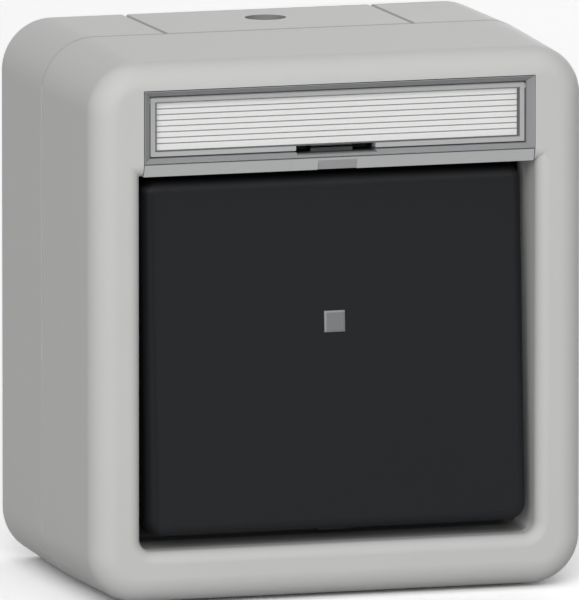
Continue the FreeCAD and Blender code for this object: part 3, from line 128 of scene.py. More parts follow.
# Millimetres
LENGTHS = dict(
    corner_radius=(6.84, "Round of the housing's four corners"),
    front_edge=(3.4, "Round of the cover's front edge"),
    seam_bevel=(0.15, "Bevel on both sides of the seam"),
    seam_gap=(0.35, "Width of the shadow line between the shells"),
    seam_depth=(0.5, "Depth of the shadow line"),
    wall=(2.2, "Thickness of the shells"),
    back_wall=(2.4, "Thickness of the base behind"),
    bezel_side=(6.82, "From the housing's side to the opening"),
    bezel_bottom=(7.1, "From the housing's bottom to the opening"),
    bezel_top=(3.85, "From the housing's top to the inscription field"),
    opening_corner=(1.7, "Round of the opening's lower corners"),
    opening_edge=(1.6, "Roll of the bezel into the opening"),
    recess=(11.85, "Depth of the rocker's recess"),
    # The recess's painted shade starts at this depth.
    recess_shade=(9.0, "Depth from which the recess is dark"),
    # These four place the painted shade on the opening's lower wall.
    shade_start=(3.3, "Depth from which the opening's lower wall is darker"),
    shade_end=(0.2, "Dark foot of the lower wall, from the recess's floor"),
    shade_height=(0.6, "Height of the lower wall's shade"),
    shade_blur=(0.5, "Width over which the lower wall's shade fades"),
    # These two place the painted light on the opening's right wall.
    deep_wall=(5.7, "Depth from which the opening's right wall is lighter"),
    deep_wall_end=(8.0, "Depth up to which it is lighter"),
    floor=(2.0, "Thickness of the recess's floor"),
    seal_port=(10.0, "Diameter of the hole for the plunger's seal"),
    guide_port=(4.2, "Diameter of the hole for the light guide"),
    screw_x=(23.0, "From the middle to the cover screws"),
    screw_hole=(3.4, "Diameter of the cover screws' holes"),
    screw_sink=(5.9, "Diameter of the sinks for their heads"),
    screw_sink_depth=(1.8, "Depth of the sinks for their heads"),
    ear_from=(16.0, "From the middle to the rocker's bearing ears"),
    ear_thickness=(2.2, "Thickness of the bearing ears"),
    ear_radius=(2.9, "Round of the bearing ears about the pivot"),
    ear_crown=(2.32, "Round of the bearing ears' front corners"),
    pin_hole=(3.1, "Diameter of the holes in the bearing ears"),
    label_height=(11.06, "Height of the inscription field"),
    label_inset=(0.31, "How much narrower the field is than the opening"),
    label_depth=(5.5, "Depth of the inscription field's recess"),
    label_gap=(0.12, "Gap round the inscription field's surround"),
    band_land=(0.03, "Flat rim before the surround's slope"),
    band_width=(0.97, "Width of the surround's slope at the sides"),
    band_drop=(0.8, "Depth of the surround's slope"),
    # Depth from which the slopes get their painted shade.
    band_from=(0.021, "Depth from which the slope has its own tint"),
    window_rise=(2.27, "From the opening up to the window"),
    window_inset=(0.82, "From the field's top down to the window"),
    lip_height=(1.73, "Height of the sloping lip"),
    lip_drop=(0.55, "How far the lip slopes back"),
    patch_width=(5.15, "Width of the shallow patch in the lip"),
    patch_height=(1.25, "Height of the shallow patch in the lip"),
    patch_depth=(0.35, "Depth of the shallow patch"),
    crease=(0.18, "Width of the fold above the lip"),
    crease_depth=(0.72, "Depth of the fold above the lip"),
    slot_width=(10.5, "Width of the slot for a blade"),
    slot_foot=(0.28, "How far the slot cuts into the slope below"),
    slot_shift=(0.27, "How far slot and patch lie left of the middle"),
    slot_depth=(5.3, "Depth of the slot's two wells"),
    latch_width=(5.5, "Width of the bar between the wells"),
    latch_height=(0.46, "Height of the bar between the wells"),
    latch_groove=(0.2, "Height of the groove above the bar"),
    latch_drop=(3.0, "Depth of the bar between the wells"),
    window_gap=(0.2, "Gap round the window"),
    window_drop=(0.25, "How far the window lies below the slope's foot"),
    window_depth=(1.3, "Depth of the clear tray"),
    window_floor=(0.35, "Gap behind the window"),
    window_lug=(0.8, "Diameter of the window's two lugs"),
    window_plate=(0.6, "Thickness of the clear plate"),
    window_rim=(0.6, "Width of the clear tray's rim"),
    window_notch=(0.62, "How far the slot cuts into the rim"),
    window_edge=(0.4, "Round of the window's upper edge"),
    # Width of the painted shadow line at the rim's foot.
    window_line=(0.24, "Width of the dark line at the foot of the rim, at the sides"),
    window_line_level=(0.144, "Its width along the rim's upper and lower parts"),
    strip_gap=(0.3, "Gap beside the inscription strip"),
    strip_line=(0.14, "Width of the lines on the strip"),
    strip_groove=(0.12, "Depth of the lines on the strip"),
    strip_end=(0.87, "Height of the strip's first and last band"),
    entry_width=(33.0, "Width of the slide-in cable entries"),
    entry_thickness=(2.7, "Thickness of the cable entries"),
    entry_gap=(0.18, "Gap beside the cable entries"),
    entry_groove=(0.7, "Width of the grooves beside the entries"),
    # These two place the painted shade in the grooves beside the entries.
    groove_tint=(0.63, "Width of the darker tint in the grooves"),
    gap_tint=(0.234, "Width of the darkest tint in the grooves"),
    # These two place the painted shade along the seam; the darker part lies only near the top.
    seam_tint=(0.165, "Width of the darker tint along the seam"),
    seam_corner=(6.156, "From the top and the bottom to where it turns lighter"),
    entry_notch=(0.5, "Bevel at the entries' corners at the wall"),
    dimple=(5.3, "Diameter of the place to pierce"),
    dimple_edge=(0.25, "Round at the bottom of the place to pierce"),
    dimple_depth=(1.0, "Depth of the place to pierce"),
    dimple_from_wall=(8.4, "From the wall to the place to pierce"),
    fixing_x=(24.0, "From the middle to the wall screws"),
    fixing_z=(25.0, "From the middle up and down to them"),
    fixing_hole=(4.4, "Diameter of the wall screws' holes"),
    knockout_z=(25.5, "From the middle to the knock-outs"),
    knockout=(12.0, "Diameter of the knock-outs in the back"),
    knockout_groove=(0.8, "Width of the grooves round them"),
    knockout_depth=(1.2, "Depth of the grooves round them"),
    rocker_rise=(6.5, "From the pivot to the rocker's face"),
    rocker_gap=(1.08, "Gap beside the rocker"),
    rocker_gap_top=(1.15, "Gap above the rocker"),
    rocker_gap_bottom=(1.52, "Gap below the rocker"),
    rocker_corner=(2.1, "Round of the rocker's corners"),
    rocker_edge=(1.3, "Round of the rocker's front edge"),
    rocker_skirt=(5.2, "Depth of the rocker's sides"),
    rocker_plate=(1.8, "Thickness of the rocker's face"),
    rocker_wall=(1.5, "Thickness of the rocker's sides"),
    # These two place the painted shade on the rocker's left edge.
    rocker_left=(1.365, "Width of the darker tint at the rocker's left edge"),
    rocker_left_blur=(0.5, "Width over which it fades"),
    # These three place the painted highlight band along the rocker's upper edge.
    rocker_lit_low=(0.35, "From the bend of the rocker's upper edge down to its lit band's end"),
    rocker_lit_high=(0.2, "From the bend up to the band's other end"),
    rocker_lit_blur=(0.4, "Width over which the lit band fades"),
    # These two place the painted shade on the rocker's upper side.
    rocker_dark=(0.7, "From the bend up to the rocker's dark upper side"),
    rocker_dark_blur=(0.6, "Width over which the dark fades"),
    tab_width=(4.6, "Width of the tab at the rocker's lower edge"),
    tab_height=(0.3, "How far the tab stands out"),
    tab_thickness=(2.2, "Thickness of the tab"),
    tab_behind=(1.5, "From the rocker's face back to the tab"),
    lens_side=(2.85, "Side of the square hole for the lens"),
    lens_rise=(0.09, "How far the lens lies above the pivot"),
    lens_gap=(0.04, "Gap round the lens"),
    # Width of the lens's painted highlight rim.
    lens_rim=(0.22, "Width of the lens's lighter rim"),
    lens_proud=(0.2, "How far the lens stands out"),
    lens_bevel=(0.25, "Bevel round the lens"),
    lens_edge=(0.04, "Round of the lens's edges"),
    lens_flange=(4.4, "Side of the lens's flange, behind the rocker's face"),
    lens_flange_thickness=(0.8, "Thickness of that flange"),
    lens_stem=(2.4, "Diameter of the lens's stem"),
    spring_coil=(4.2, "Mean diameter of the return spring"),
    spring_wire=(0.55, "Diameter of the return spring's wire"),
)

# Degrees
ANGLES = dict(
    base_draft=(0.9, "Lean of the base's walls towards the wall"),
    cover_draft=(1.37, "Lean of the cover's walls towards the front"),
    rocker_draft=(1.0, "Lean of the rocker's sides"),
    rocker_tilt=(3.5, "How far the rocker tips at rest"),
)

# Red, green and blue as they are seen, from 0 to 255
COLOURS = dict(
    housing=(199, 199, 198, "Moulded light grey of the shells"),
    surround=(184, 185, 185, "Grey of the inscription field's surround"),
    # The slope tint is painted shade on the slopes round the window; their grain is the same as
    # elsewhere.
    slope=(148, 149, 151, "Finer grained slopes round the window"),
    # Painted shade in the deep parts of the surround below the window.
    well=(84, 85, 86, "Deep parts of the surround, below the window"),
    # Darker painted shade at the bottom of the slot's wells.
    hollow=(22, 22, 23, "Bottom of the slot's wells"),
    # The patch tint is painted shade on the lip's patch; its grain is the same as elsewhere.
    patch=(170, 170, 172, "Finer grained patch in the lip"),
    # Painted shade in the deepest part of the rocker's recess.
    recess=(44, 44, 45, "Deepest part of the rocker's recess"),
    # Painted shade on the opening's lower wall, where the rocker shades it.
    low_wall=(144, 144, 145, "Lower wall of the rocker's opening"),
    # Painted shade in the grooves between the housing's parts.
    groove=(168, 168, 168, "Grooves between the housing's parts"),
    # Darkest painted shade deep in the gaps beside the cable entries.
    gap=(85, 85, 85, "Depth of the gaps beside the cable entries"),
    # Painted shade on the base's bevel along the seam.
    joint=(182, 182, 181, "Bevel of the base along the seam"),
    # Painted shade in the cable entries' dimples, over the place to pierce.
    pierce=(137, 137, 137, "Thin wall in the cable entries' dimples"),
    # Painted light on the opening's right wall beside the rocker.
    deep_wall=(235, 235, 234, "Right wall of the opening, beside the rocker"),
    rocker=(36, 37, 39, "Satin anthracite of the rocker"),
    # Painted highlight where the rocker's face starts to round off.
    rocker_lit=(45, 46, 48, "Where the rocker's face starts to round off"),
    # Painted shade on the rocker's upper side under the lip.
    rocker_top=(14, 14, 15, "Upper side of the rocker, under the lip"),
    # Painted shade on the round of the rocker's left side.
    rocker_left=(28, 29, 31, "Round of the rocker's left side"),
    carrier=(140, 142, 144, "Mid grey of the rocker's carrier"),
    insert=(48, 48, 50, "Black of the switch insert"),
    lens=(122, 123, 125, "Unlit lens"),
    # Painted highlight round the lens's rim.
    lens_rim=(152, 153, 154, "Rim of the lens"),
    window=(201, 202, 202, "Clear tray, where its rim is thick"),
    # Painted shadow line at the foot of the tray's rim.
    window_line=(105, 105, 105, "Foot of the tray's rim, seen in its edge"),
    strip=(250, 250, 249, "Inscription strip"),
    line=(162, 162, 162, "Lines on the strip"),
    rubber=(38, 38, 38, "Seals"),
    steel=(200, 201, 203, "Zinc-plated steel"),
    spring=(190, 191, 195, "Drawn spring wire"),
    brass=(222, 190, 122, "Contacts"),
    clear=(235, 236, 236, "Light guide and lamp"),
    floor=(174, 174, 174, "Floor under the switch, as it lights the switch"),
)


class SwitchSizes(bpy.types.PropertyGroup):
    """Sizes of the pieces that can be seen"""

    __annotations__ = {
        **{key: length(key, *values) for key, values in LENGTHS.items()},
        **{key: angle(key, *values) for key, values in ANGLES.items()},
        "strip_bands": IntProperty(
            name="Strip bands", description="Number of bands on the strip", default=8, min=2
        ),
        "spring_turns": FloatProperty(
            name="Spring turns", description="Turns of the return spring", default=3.5, min=1.0
        ),
    }


class SwitchColours(bpy.types.PropertyGroup):
    """Colours of the finishes"""

    __annotations__ = {key: colour(key, *values) for key, values in COLOURS.items()}


# Solids: each starts from a face and is carried through a profile of steps


def rounded_face(bm, sides, radius, depth, segments):
    """A rectangle between (left, right, low, high), facing the front, with round corners."""
    left, right, low, high = sides
    made = bmesh.ops.create_grid(bm, x_segments=1, y_segments=1, size=0.5)
    place = (
        Matrix.Translation(((left + right) / 2, -depth, (low + high) / 2))
        @ Matrix.Rotation(math.pi / 2, 4, "X")
        @ Matrix.Diagonal((right - left, high - low, 1, 1))
    )
    bmesh.ops.transform(bm, matrix=place, verts=made["verts"])
    face = made["verts"][0].link_faces[0]
    if radius > 0:
        known = set(bm.faces)
        known.discard(face)
        soften(bm, made["verts"], radius, segments, affect="VERTICES", clamp_overlap=False)
        face = next(f for f in bm.faces if f not in known)
    return face


def solid(sides, radius, profile, segments=16):
    """A closed solid: a rounded rectangle carried through (inset, depth) steps."""
    bm = bmesh.new()
    inset, depth = profile[0]
    left, right, low, high = sides
    start = (left + inset, right - inset, low + inset, high - inset)
    corner = radius - inset if radius > 0 else 0
    # The first face stays as the start, and the second one is carried on
    for _ in range(2):
        face = rounded_face(bm, start, corner, depth, segments)
    for (inset, depth), (next_inset, next_depth) in zip(profile, profile[1:]):
        bmesh.ops.inset_region(
            bm,
            faces=[face],
            thickness=next_inset - inset,
            depth=next_depth - depth,
            use_boundary=True,
            use_even_offset=True,
        )
    return closed(bm)


def closed(bm):
    """Merges what coincides and turns every face outwards."""
    bmesh.ops.remove_doubles(bm, verts=bm.verts, dist=SAME)
    bmesh.ops.recalc_face_normals(bm, faces=bm.faces)
    return bm


def box(sides, back, front):
    """A plain block between (left, right, low, high) and two depths, used to cut or to join."""
    return solid(sides, 0, [(0, back), (0, front)])


def rod(start, end, diameter, segments=48, edge=0.0):
    """A round rod between two points; an edge rounds its far end."""
    bm = bmesh.new()
    way = Vector(end) - Vector(start)
    bmesh.ops.create_cone(
        bm,
        cap_ends=True,
        segments=segments,
        radius1=diameter / 2,
        radius2=diameter / 2,
        depth=way.length,
    )
    if edge > 0:
        rim = [e for e in bm.edges if all(v.co.z > way.length / 2 - SAME for v in e.verts)]
        soften(bm, rim, edge, segments=4)
    turn = Vector((0, 0, 1)).rotation_difference(way).to_matrix().to_4x4()
    place = Matrix.Translation((Vector(start) + Vector(end)) / 2) @ turn
    bmesh.ops.transform(bm, matrix=place, verts=bm.verts)
    return bm


def soften(bm, geom, size, segments=3, affect="EDGES", clamp_overlap=True):
    """Rounds edges or corners, or bevels them where segments is 1."""
    bmesh.ops.bevel(
        bm,
        geom=geom,
        affect=affect,
        offset=size,
        offset_type="OFFSET",
        segments=segments,
        profile=0.5,
        material=-1,
        clamp_overlap=clamp_overlap,
    )


def edges_within(bm, low, high=None):
    """The edges with both ends between two corners, or at one; None leaves a way free."""
    high = high or low
    return [
        edge
        for edge in bm.edges
        if all(
            (least is None or vert.co[way] > least - HAIR)
            and (most is None or vert.co[way] < most + HAIR)
            for vert in edge.verts
            for way, (least, most) in enumerate(zip(low, high))
        )
    ]


def split(bm, height, **options):
    """Cuts a form through at a height; gives what lies in the cut."""
    geom = bm.verts[:] + bm.edges[:] + bm.faces[:]
    plane = {"plane_co": (0, 0, height), "plane_no": (0, 0, 1)}
    return bmesh.ops.bisect_plane(bm, geom=geom, **plane, **options)["geom_cut"]


def topped(bm, height):
    """Cuts away what lies above a height, and closes the cut."""
    rim = split(bm, height, clear_outer=True)
    edges = [item for item in rim if isinstance(item, bmesh.types.BMEdge)]
    bmesh.ops.contextual_create(bm, geom=edges)
    return closed(bm)


def wedge(sides, depth_low, depth_high):
    """A block in front of a slope, which lies at other depths at its foot and at its top."""
    bm = box(sides, depth_low, FRONT + MM)
    for vert in bm.verts:
        if vert.co.y > -FRONT - LITTLE and vert.co.z > sides[3] - LITTLE:
            vert.co.y = -depth_high
    return closed(bm)


def roll(inset, depth, radius, start, end, steps=10):
    """Steps of (inset, depth) round an arc, its angles measured from the outward side."""
    angles = [start + (end - start) * step / steps for step in range(steps + 1)]
    return [(inset - radius * math.cos(a), depth + radius * math.sin(a)) for a in angles]


def front_round(base, front, radius, draft, steps):
    """Steps of (inset, depth) round a front edge whose wall leans in from a base's depth."""
    centre = front - radius
    inset_there = (centre - base) * math.tan(draft) + radius / math.cos(draft)
    return roll(inset_there, centre, radius, draft, math.pi / 2, steps)


def placed(name, bm):
    """Puts a bmesh into the scene as an object."""
    mesh = bpy.data.meshes.new(name)
    bm.to_mesh(mesh)
    bm.free()
    piece = bpy.data.objects.new(name, mesh)
    bpy.context.scene.collection.objects.link(piece)
    return piece


def settled(piece):
    """Makes a piece's modifiers part of its mesh."""
    graph = bpy.context.evaluated_depsgraph_get()
    mesh = bpy.data.meshes.new_from_object(piece.evaluated_get(graph))
    old = piece.data
    piece.modifiers.clear()
    piece.data = mesh
    bpy.data.meshes.remove(old)


def cut(piece, *forms):
    """Cuts forms out of a piece."""
    combine(piece, "DIFFERENCE", forms)


def join(piece, *forms):
    """Joins forms to a piece."""
    combine(piece, "UNION", forms)


def combine(piece, operation, forms):
    """Cuts or joins forms, one after the other."""
    for form in forms:
        tool = placed("tool", form)
        modifier = piece.modifiers.new("form", "BOOLEAN")
        modifier.operation = operation
        modifier.solver = "EXACT"
        modifier.object = tool
        settled(piece)
        mesh = tool.data
        bpy.data.objects.remove(tool)
        bpy.data.meshes.remove(mesh)


def finished(piece, body, node, finish, sharp=30.0):
    """Shades and finishes a piece, hides the imported node it replaces and hangs it on its body.
    """
    if not piece.data.polygons:
        raise RuntimeError("%s has no faces" % piece.name)
    piece.data.shade_smooth()
    piece.data.set_sharp_from_angle(angle=math.radians(sharp))
    weighted = piece.modifiers.new("even shading", "WEIGHTED_NORMAL")
    weighted.keep_sharp = True
    settled(piece)
    piece.data.name = piece.name
    piece.data.materials.clear()
    piece.data.materials.append(finish)
    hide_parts(node)
    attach(piece, body)
    return piece


# Finishes


class Value:
    """A number socket of a node tree, used in sums."""

    def __init__(self, nodes, socket):
        self.nodes = nodes
        self.socket = socket

    def maths(self, operation, *inputs):
        """A Math node with this value first."""
        return self.nodes.maths(operation, self, *inputs)

    def __add__(self, other):
        return self.maths("ADD", other)

    __radd__ = __add__

    def __sub__(self, other):
        return self.maths("SUBTRACT", other)

    def __rsub__(self, other):
        return self.nodes.maths("SUBTRACT", other, self)

    def __mul__(self, other):
        return self.maths("MULTIPLY", other)

    __rmul__ = __mul__

    def __truediv__(self, other):
        return self.maths("DIVIDE", other)

    def __rtruediv__(self, other):
        return self.nodes.maths("DIVIDE", other, self)

    def __gt__(self, other):
        return self.maths("GREATER_THAN", other)

    def __lt__(self, other):
        return self.maths("LESS_THAN", other)

    def __abs__(self):
        return self.maths("ABSOLUTE")


class Nodes:
    """A node tree that is filled by one method."""

    def __init__(self, tree):
        self.tree = tree
        tree.nodes.clear()

    def node(self, kind, settings=None, sockets=None, output=0):
        """Adds a node with its settings, then its values or links; gives one output."""
        node = self.tree.nodes.new(kind)
        for name, value in (settings or {}).items():
            setattr(node, name, value)
        for name, value in (sockets or {}).items():
            self.feed(node.inputs[name], value)
        return node.outputs[output] if node.outputs else None

    def feed(self, socket, value):
        """Links a socket to a value, or sets it."""
        if isinstance(value, Value):
            value = value.socket
        if isinstance(value, bpy.types.NodeSocket):
            self.tree.links.new(value, socket)
        else:
            socket.default_value = value

    def maths(self, operation, *inputs):
        """A Math node as a value."""
        sockets = dict(enumerate(inputs))
        return Value(self, self.node("ShaderNodeMath", {"operation": operation}, sockets))

    def seen_rays(self):
        """1 for rays that show a background, straight, in gloss or through glass."""
        camera, glossy, through = (
            Value(self, self.node("ShaderNodeLightPath", output="Is %s Ray" % kind))
            for kind in ("Camera", "Glossy", "Transmission")
        )
        return camera.maths("MAXIMUM", glossy.maths("MAXIMUM", through))


class Finish(Nodes):
    """A material made of nodes, with its shader and the piece's own coordinates."""

    def __init__(self, name, roughness, **constants):
        self.material = bpy.data.materials.new(name)
        self.material.use_nodes = True
        super().__init__(self.material.node_tree)
        surface = self.node("ShaderNodeBsdfPrincipled")
        self.node("ShaderNodeOutputMaterial", {}, {0: surface})
        self.shader = surface.node
        self.roughness = roughness
        self.set("Roughness", roughness)
        for socket, value in constants.items():
            self.set(socket.replace("_", " "), value)
        self.place = self.node("ShaderNodeTexCoord", output="Object")

    def noise(self, size, detail=2.0, stretch=(1, 1, 1)):
        """Noise about as coarse as a size in metres, from 0 to 1."""
        place = self.node(
            "ShaderNodeMapping", {"vector_type": "POINT"}, {"Vector": self.place, "Scale": stretch}
        )
        sockets = {"Vector": place, "Scale": 1 / size, "Detail": detail}
        return Value(self, self.node("ShaderNodeTexNoise", {}, sockets, output="Fac"))

    def along(self, way):
        """The place along X, Y or Z, in metres."""
        return Value(self, self.node("ShaderNodeSeparateXYZ", {}, {0: self.place}, output=way))

    def within(self, x, depth, z, soft=HAIR):
        """1 between (least, most) along X, depth and Z, of which None leaves a way free.

        The edges of what lies between are blurred over the width "soft".
        """
        inside = 1.0
        for way, sign, limits in (("X", 1, x), ("Y", -1, depth), ("Z", 1, z)):
            if limits:
                middle, half = sum(limits) / 2, (limits[1] - limits[0]) / 2
                rise = (half - abs(self.along(way) * sign - middle)) / soft + 0.5
                inside = rise.maths("MAXIMUM", 0.0).maths("MINIMUM", 1.0) * inside
        return inside

    def blend(self, factor, first, second):
        """A colour between two others."""
        settings = {"data_type": "RGBA", "blend_type": "MIX"}
        return self.node("ShaderNodeMix", settings, {0: factor, 6: first, 7: second}, output=2)

    def mottled(self, noise, tint, low, high):
        """A colour that a noise makes darker or lighter, between two shares of it."""
        return self.blend(noise, shade(tint, low), shade(tint, high))

    def vary(self, *shares):
        """Lets (noise, share) pairs change the roughness about its middle."""
        total = self.roughness - sum(share for _, share in shares) / 2
        for noise, share in shares:
            total = noise * share + total
        self.set("Roughness", total)

    def set(self, socket, value):
        """Feeds one of the shader's own sockets."""
        self.feed(self.shader.inputs[socket], value)

    def relief(self, height, depth, strength=1.0):
        """Lets a height from 0 to 1 show as relief of a depth in metres."""
        sockets = {"Height": height, "Distance": depth, "Strength": strength}
        self.set("Normal", self.node("ShaderNodeBump", {}, sockets))


# Sizes of what the noises of the finishes draw, and the clouds' share in a moulded speckle
CLOUD_SIZE = 9 * MM
GRAIN_SIZE = 0.12 * MM
PLATING_SIZE = 1.5 * MM
LINE_SIZE = 0.05 * MM
FIBRE_SIZE = 0.3 * MM
CLEAR_SIZE = 2 * MM
CLOUD_SHARE = 0.7

# Clear plastic: how it bends light, and how milky the tray is at its plate and at its rim
CLEAR_IOR = 1.49
PLATE_ALPHA, RIM_ALPHA = 0.06, 0.7


def shade(tint, factor):
    """A colour made darker or lighter."""
    return tuple(min(1.0, part * factor) for part in tint[:3]) + (1.0,)


def moulded(
    name, tint, roughness, gloss=0.25, depth=0.004 * MM, mottle=0.03, spot=None, areas=()
):
    """Moulded plastic: a fine eroded grain, slight clouds in colour and in gloss.

    A spot is (x, y, radius, tint): a round place along Z that has a tint of its own.
    An area is (x, depth, z, tint): a tint for what lies between (least, most) along each,
    where None leaves a way free. A fifth value blurs its edges.
    """
    finish = Finish(name, roughness, Specular_IOR_Level=gloss)
    clouds = finish.noise(CLOUD_SIZE, detail=3.0)
    grains = finish.noise(GRAIN_SIZE)
    speckle = clouds * CLOUD_SHARE + grains * (1 - CLOUD_SHARE)
    body = finish.mottled(speckle, tint, 1 - mottle, 1 + mottle)
    if spot:
        x, y, radius, spot_tint = spot
        across = finish.along("X") - x
        deep = finish.along("Y") - y
        inside = (across * across + deep * deep) < radius * radius
        body = finish.blend(inside, body, spot_tint)
    for x, reach, z, area_tint, *soft in areas:
        body = finish.blend(finish.within(x, reach, z, *soft), body, area_tint)
    finish.set("Base Color", body)
    finish.vary((clouds, 0.08), (grains, 0.05))
    finish.relief(grains, depth)
    return finish.material


def drawn(name, tint, roughness, stretch):
    """Metal with fine lines from rolling or drawing, and cloudy plating."""
    finish = Finish(name, roughness, Metallic=1.0)
    lines = finish.noise(LINE_SIZE, 3.0, stretch)
    clouds = finish.noise(PLATING_SIZE, detail=4.0)
    finish.set("Base Color", finish.mottled((lines + clouds) / 2, tint, 0.86, 1.06))
    finish.vary((lines, 0.12), (clouds, 0.1))
    finish.relief(lines, 0.003 * MM, 0.6)
    return finish.material


def clear_tray(sizes, tints, sides):
    """Clear plastic: see-through over the strip, milky where its rim is thick, with a painted
    shadow line at the rim's foot.
    """
    finish = Finish("window_clear", 0.18, IOR=CLEAR_IOR)
    left, right, low, high = sides
    across = abs(finish.along("X") - (left + right) / 2)
    up = abs(finish.along("Z") - (low + high) / 2)
    rim = (across > (right - left) / 2 - sizes.window_rim).maths(
        "MAXIMUM", up > (high - low) / 2 - sizes.window_rim
    )
    foot = (across > (right - left) / 2 - sizes.window_rim - sizes.window_line).maths(
        "MAXIMUM", up > (high - low) / 2 - sizes.window_rim - sizes.window_line_level
    )
    clouds = finish.noise(CLEAR_SIZE, detail=3.0)
    body = finish.mottled(clouds, tints.window, 0.97, 1.03)
    finish.set("Base Color", finish.blend(foot - rim, body, tints.window_line))
    finish.set("Alpha", foot * (RIM_ALPHA - PLATE_ALPHA) + PLATE_ALPHA)
    finish.vary((clouds, 0.06))
    finish.relief(clouds, 0.004 * MM, 0.4)
    return finish.material


def ruled(sizes, tints, low, high):
    """White strip with a fine grey line between its bands."""
    finish = Finish("strip_white", 0.6, Specular_IOR_Level=0.2)
    pitch = (high - low - 2 * sizes.strip_end) / (sizes.strip_bands - 2)
    step = (finish.along("Z") - (low + sizes.strip_end - pitch)) / pitch
    from_line = abs(0.5 - abs(step.maths("FRACT") - 0.5)) * pitch
    line = (from_line < sizes.strip_line / 2) * (step > 0.5) * (step < sizes.strip_bands - 0.5)
    fibres = finish.noise(FIBRE_SIZE, detail=4.0)
    paper = finish.mottled(fibres, tints.strip, 0.97, 1.0)
    finish.set("Base Color", finish.blend(line, paper, tints.line))
    finish.vary((fibres, 0.1))
    finish.relief(fibres, 0.005 * MM)
    return finish.material


def glassy(name, tint, roughness, alpha):
    """Clear plastic or glass for small inner pieces."""
    finish = Finish(name, roughness, IOR=CLEAR_IOR)
    clouds = finish.noise(CLEAR_SIZE / 2, detail=3.0)
    finish.set("Base Color", finish.mottled(clouds, tint, 0.95, 1.02))
    finish.set("Alpha", clouds * 0.1 + alpha)
    finish.vary((clouds, 0.08))
    finish.relief(clouds, 0.003 * MM, 0.5)
    return finish.material


finishes = {}


def finish_of(slot):
    """The finish of a material slot, made once."""
    if slot not in finishes:
        tints = bpy.context.scene.switch_colours
        across = (1, 1, 0.05)
        makers = {
            "carrier_grey": lambda: moulded(slot, tints.carrier, 0.45),
            "insert_black": lambda: moulded(slot, tints.insert, 0.4),
            "guide_clear": lambda: glassy(slot, tints.clear, 0.14, alpha=0.35),
            "lamp_clear": lambda: glassy(slot, tints.clear, 0.12, alpha=0.45),
            "seal_rubber": lambda: moulded(slot, tints.rubber, 0.7, 0.2, depth=0.008 * MM),
            "plated_steel": lambda: drawn(slot, tints.steel, 0.35, across),
            "spring_steel": lambda: drawn(slot, tints.spring, 0.3, (1, 1, 1)),
            "contact_brass": lambda: drawn(slot, tints.brass, 0.32, across),
        }
        finishes[slot] = makers[slot]()
    return finishes[slot]


# Places that several pieces share


class Layout:
    """Outlines and depths worked out from the sizes."""

    def __init__(self, sizes):
        self.sizes = sizes
        half_opening = HALF_WIDTH - sizes.bezel_side
        self.opening_low = sizes.bezel_bottom - HALF_HEIGHT
        self.label_top = HALF_HEIGHT - sizes.bezel_top
        self.opening_top = self.label_top - sizes.label_height
        self.opening = (-half_opening, half_opening, self.opening_low, self.opening_top)
        self.floor_front = FRONT - sizes.recess
        half_label = half_opening - sizes.label_inset
        self.label = (-half_label, half_label, self.opening_top, self.label_top)
        self.label_back = FRONT - sizes.label_depth
        half_window = half_label - sizes.band_width
        window_low = self.opening_top + sizes.window_rise
        window_high = self.label_top - sizes.window_inset
        self.window_seat = (-half_window, half_window, window_low, window_high)
        self.window = inset(self.window_seat, sizes.window_gap)
        self.window_front = FRONT - sizes.band_drop - sizes.window_drop
        self.window_back = self.window_front - sizes.window_depth
        pivot = middle_of("rocker_pins")
        self.pivot_depth, self.pivot_height = -pivot.y, pivot.z
        self.rocker_face = self.pivot_depth + sizes.rocker_rise
        self.rocker = (
            sizes.rocker_gap - half_opening,
            half_opening - sizes.rocker_gap,
            self.opening_low + sizes.rocker_gap_bottom,
            self.opening_top - sizes.rocker_gap_top,
        )

        # How far the tilt at rest lifts the rocker's face
        self.lift = math.sin(sizes.rocker_tilt) * sizes.rocker_rise

    def tipped(self, bm):
        """Turns a piece of the rocker, drawn level, about the pivot to its rest."""
        centre = Vector((0, -self.pivot_depth, self.pivot_height))
        turn = Matrix.Rotation(-self.sizes.rocker_tilt, 3, "X")
        bmesh.ops.rotate(bm, cent=centre, matrix=turn, verts=bm.verts)
        return bm


def inset(sides, by):
    """Four sides moved inwards."""
    left, right, low, high = sides
    return (left + by, right - by, low + by, high - by)


def joint_named(name):
    """One of the frame's joints."""
    return next(joint for joint in frame["joints"] if joint["name"] == name)


def middle_of(node):
    """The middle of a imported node's box."""
    low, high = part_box(node)
    return (low + high) / 2


class SwitchOperator(bpy.types.Operator):
    """Base of the operators: each builds its pieces from the scene's sizes."""

    bl_idname = "switch.base"
    bl_label = "Piece"
    bl_options = {"REGISTER", "UNDO"}

    def execute(self, context):
        self.sizes = context.scene.switch_sizes
        self.tints = context.scene.switch_colours
        self.lay = Layout(self.sizes)
        self.build()
        return {"FINISHED"}


def entry_grooves(sizes, side):
    """The forms that cut a groove with sloping sides along both sides of a cable entry."""
    slope = math.tan(sizes.base_draft)
    middle = (sizes.entry_width - sizes.entry_gap) / 2
    for x in (-middle, middle):
        start = (x, BEYOND, side * (HALF_HEIGHT - (SEAM + BEYOND) * slope))
        end = (x, -SEAM - BEYOND, side * (HALF_HEIGHT + BEYOND * slope))
        yield rod(start, end, sizes.entry_groove, segments=4)


def groove_areas(sizes, tints, side):
    """Painted shade in the grooves beside a cable entry and on its edge at the seam."""
    middle = (sizes.entry_width - sizes.entry_gap) / 2
    outer = sorted((side * (HALF_HEIGHT - BEYOND), side * (HALF_HEIGHT + MM)))
    areas = []
    for width, tint in ((sizes.groove_tint, tints.groove), (sizes.gap_tint, tints.gap)):
        for x in (-middle, middle):
            areas.append(((x - width / 2, x + width / 2), None, outer, tint))
    areas.append((None, (SEAM - sizes.seam_tint, SEAM + MM), outer, tints.groove))
    return areas


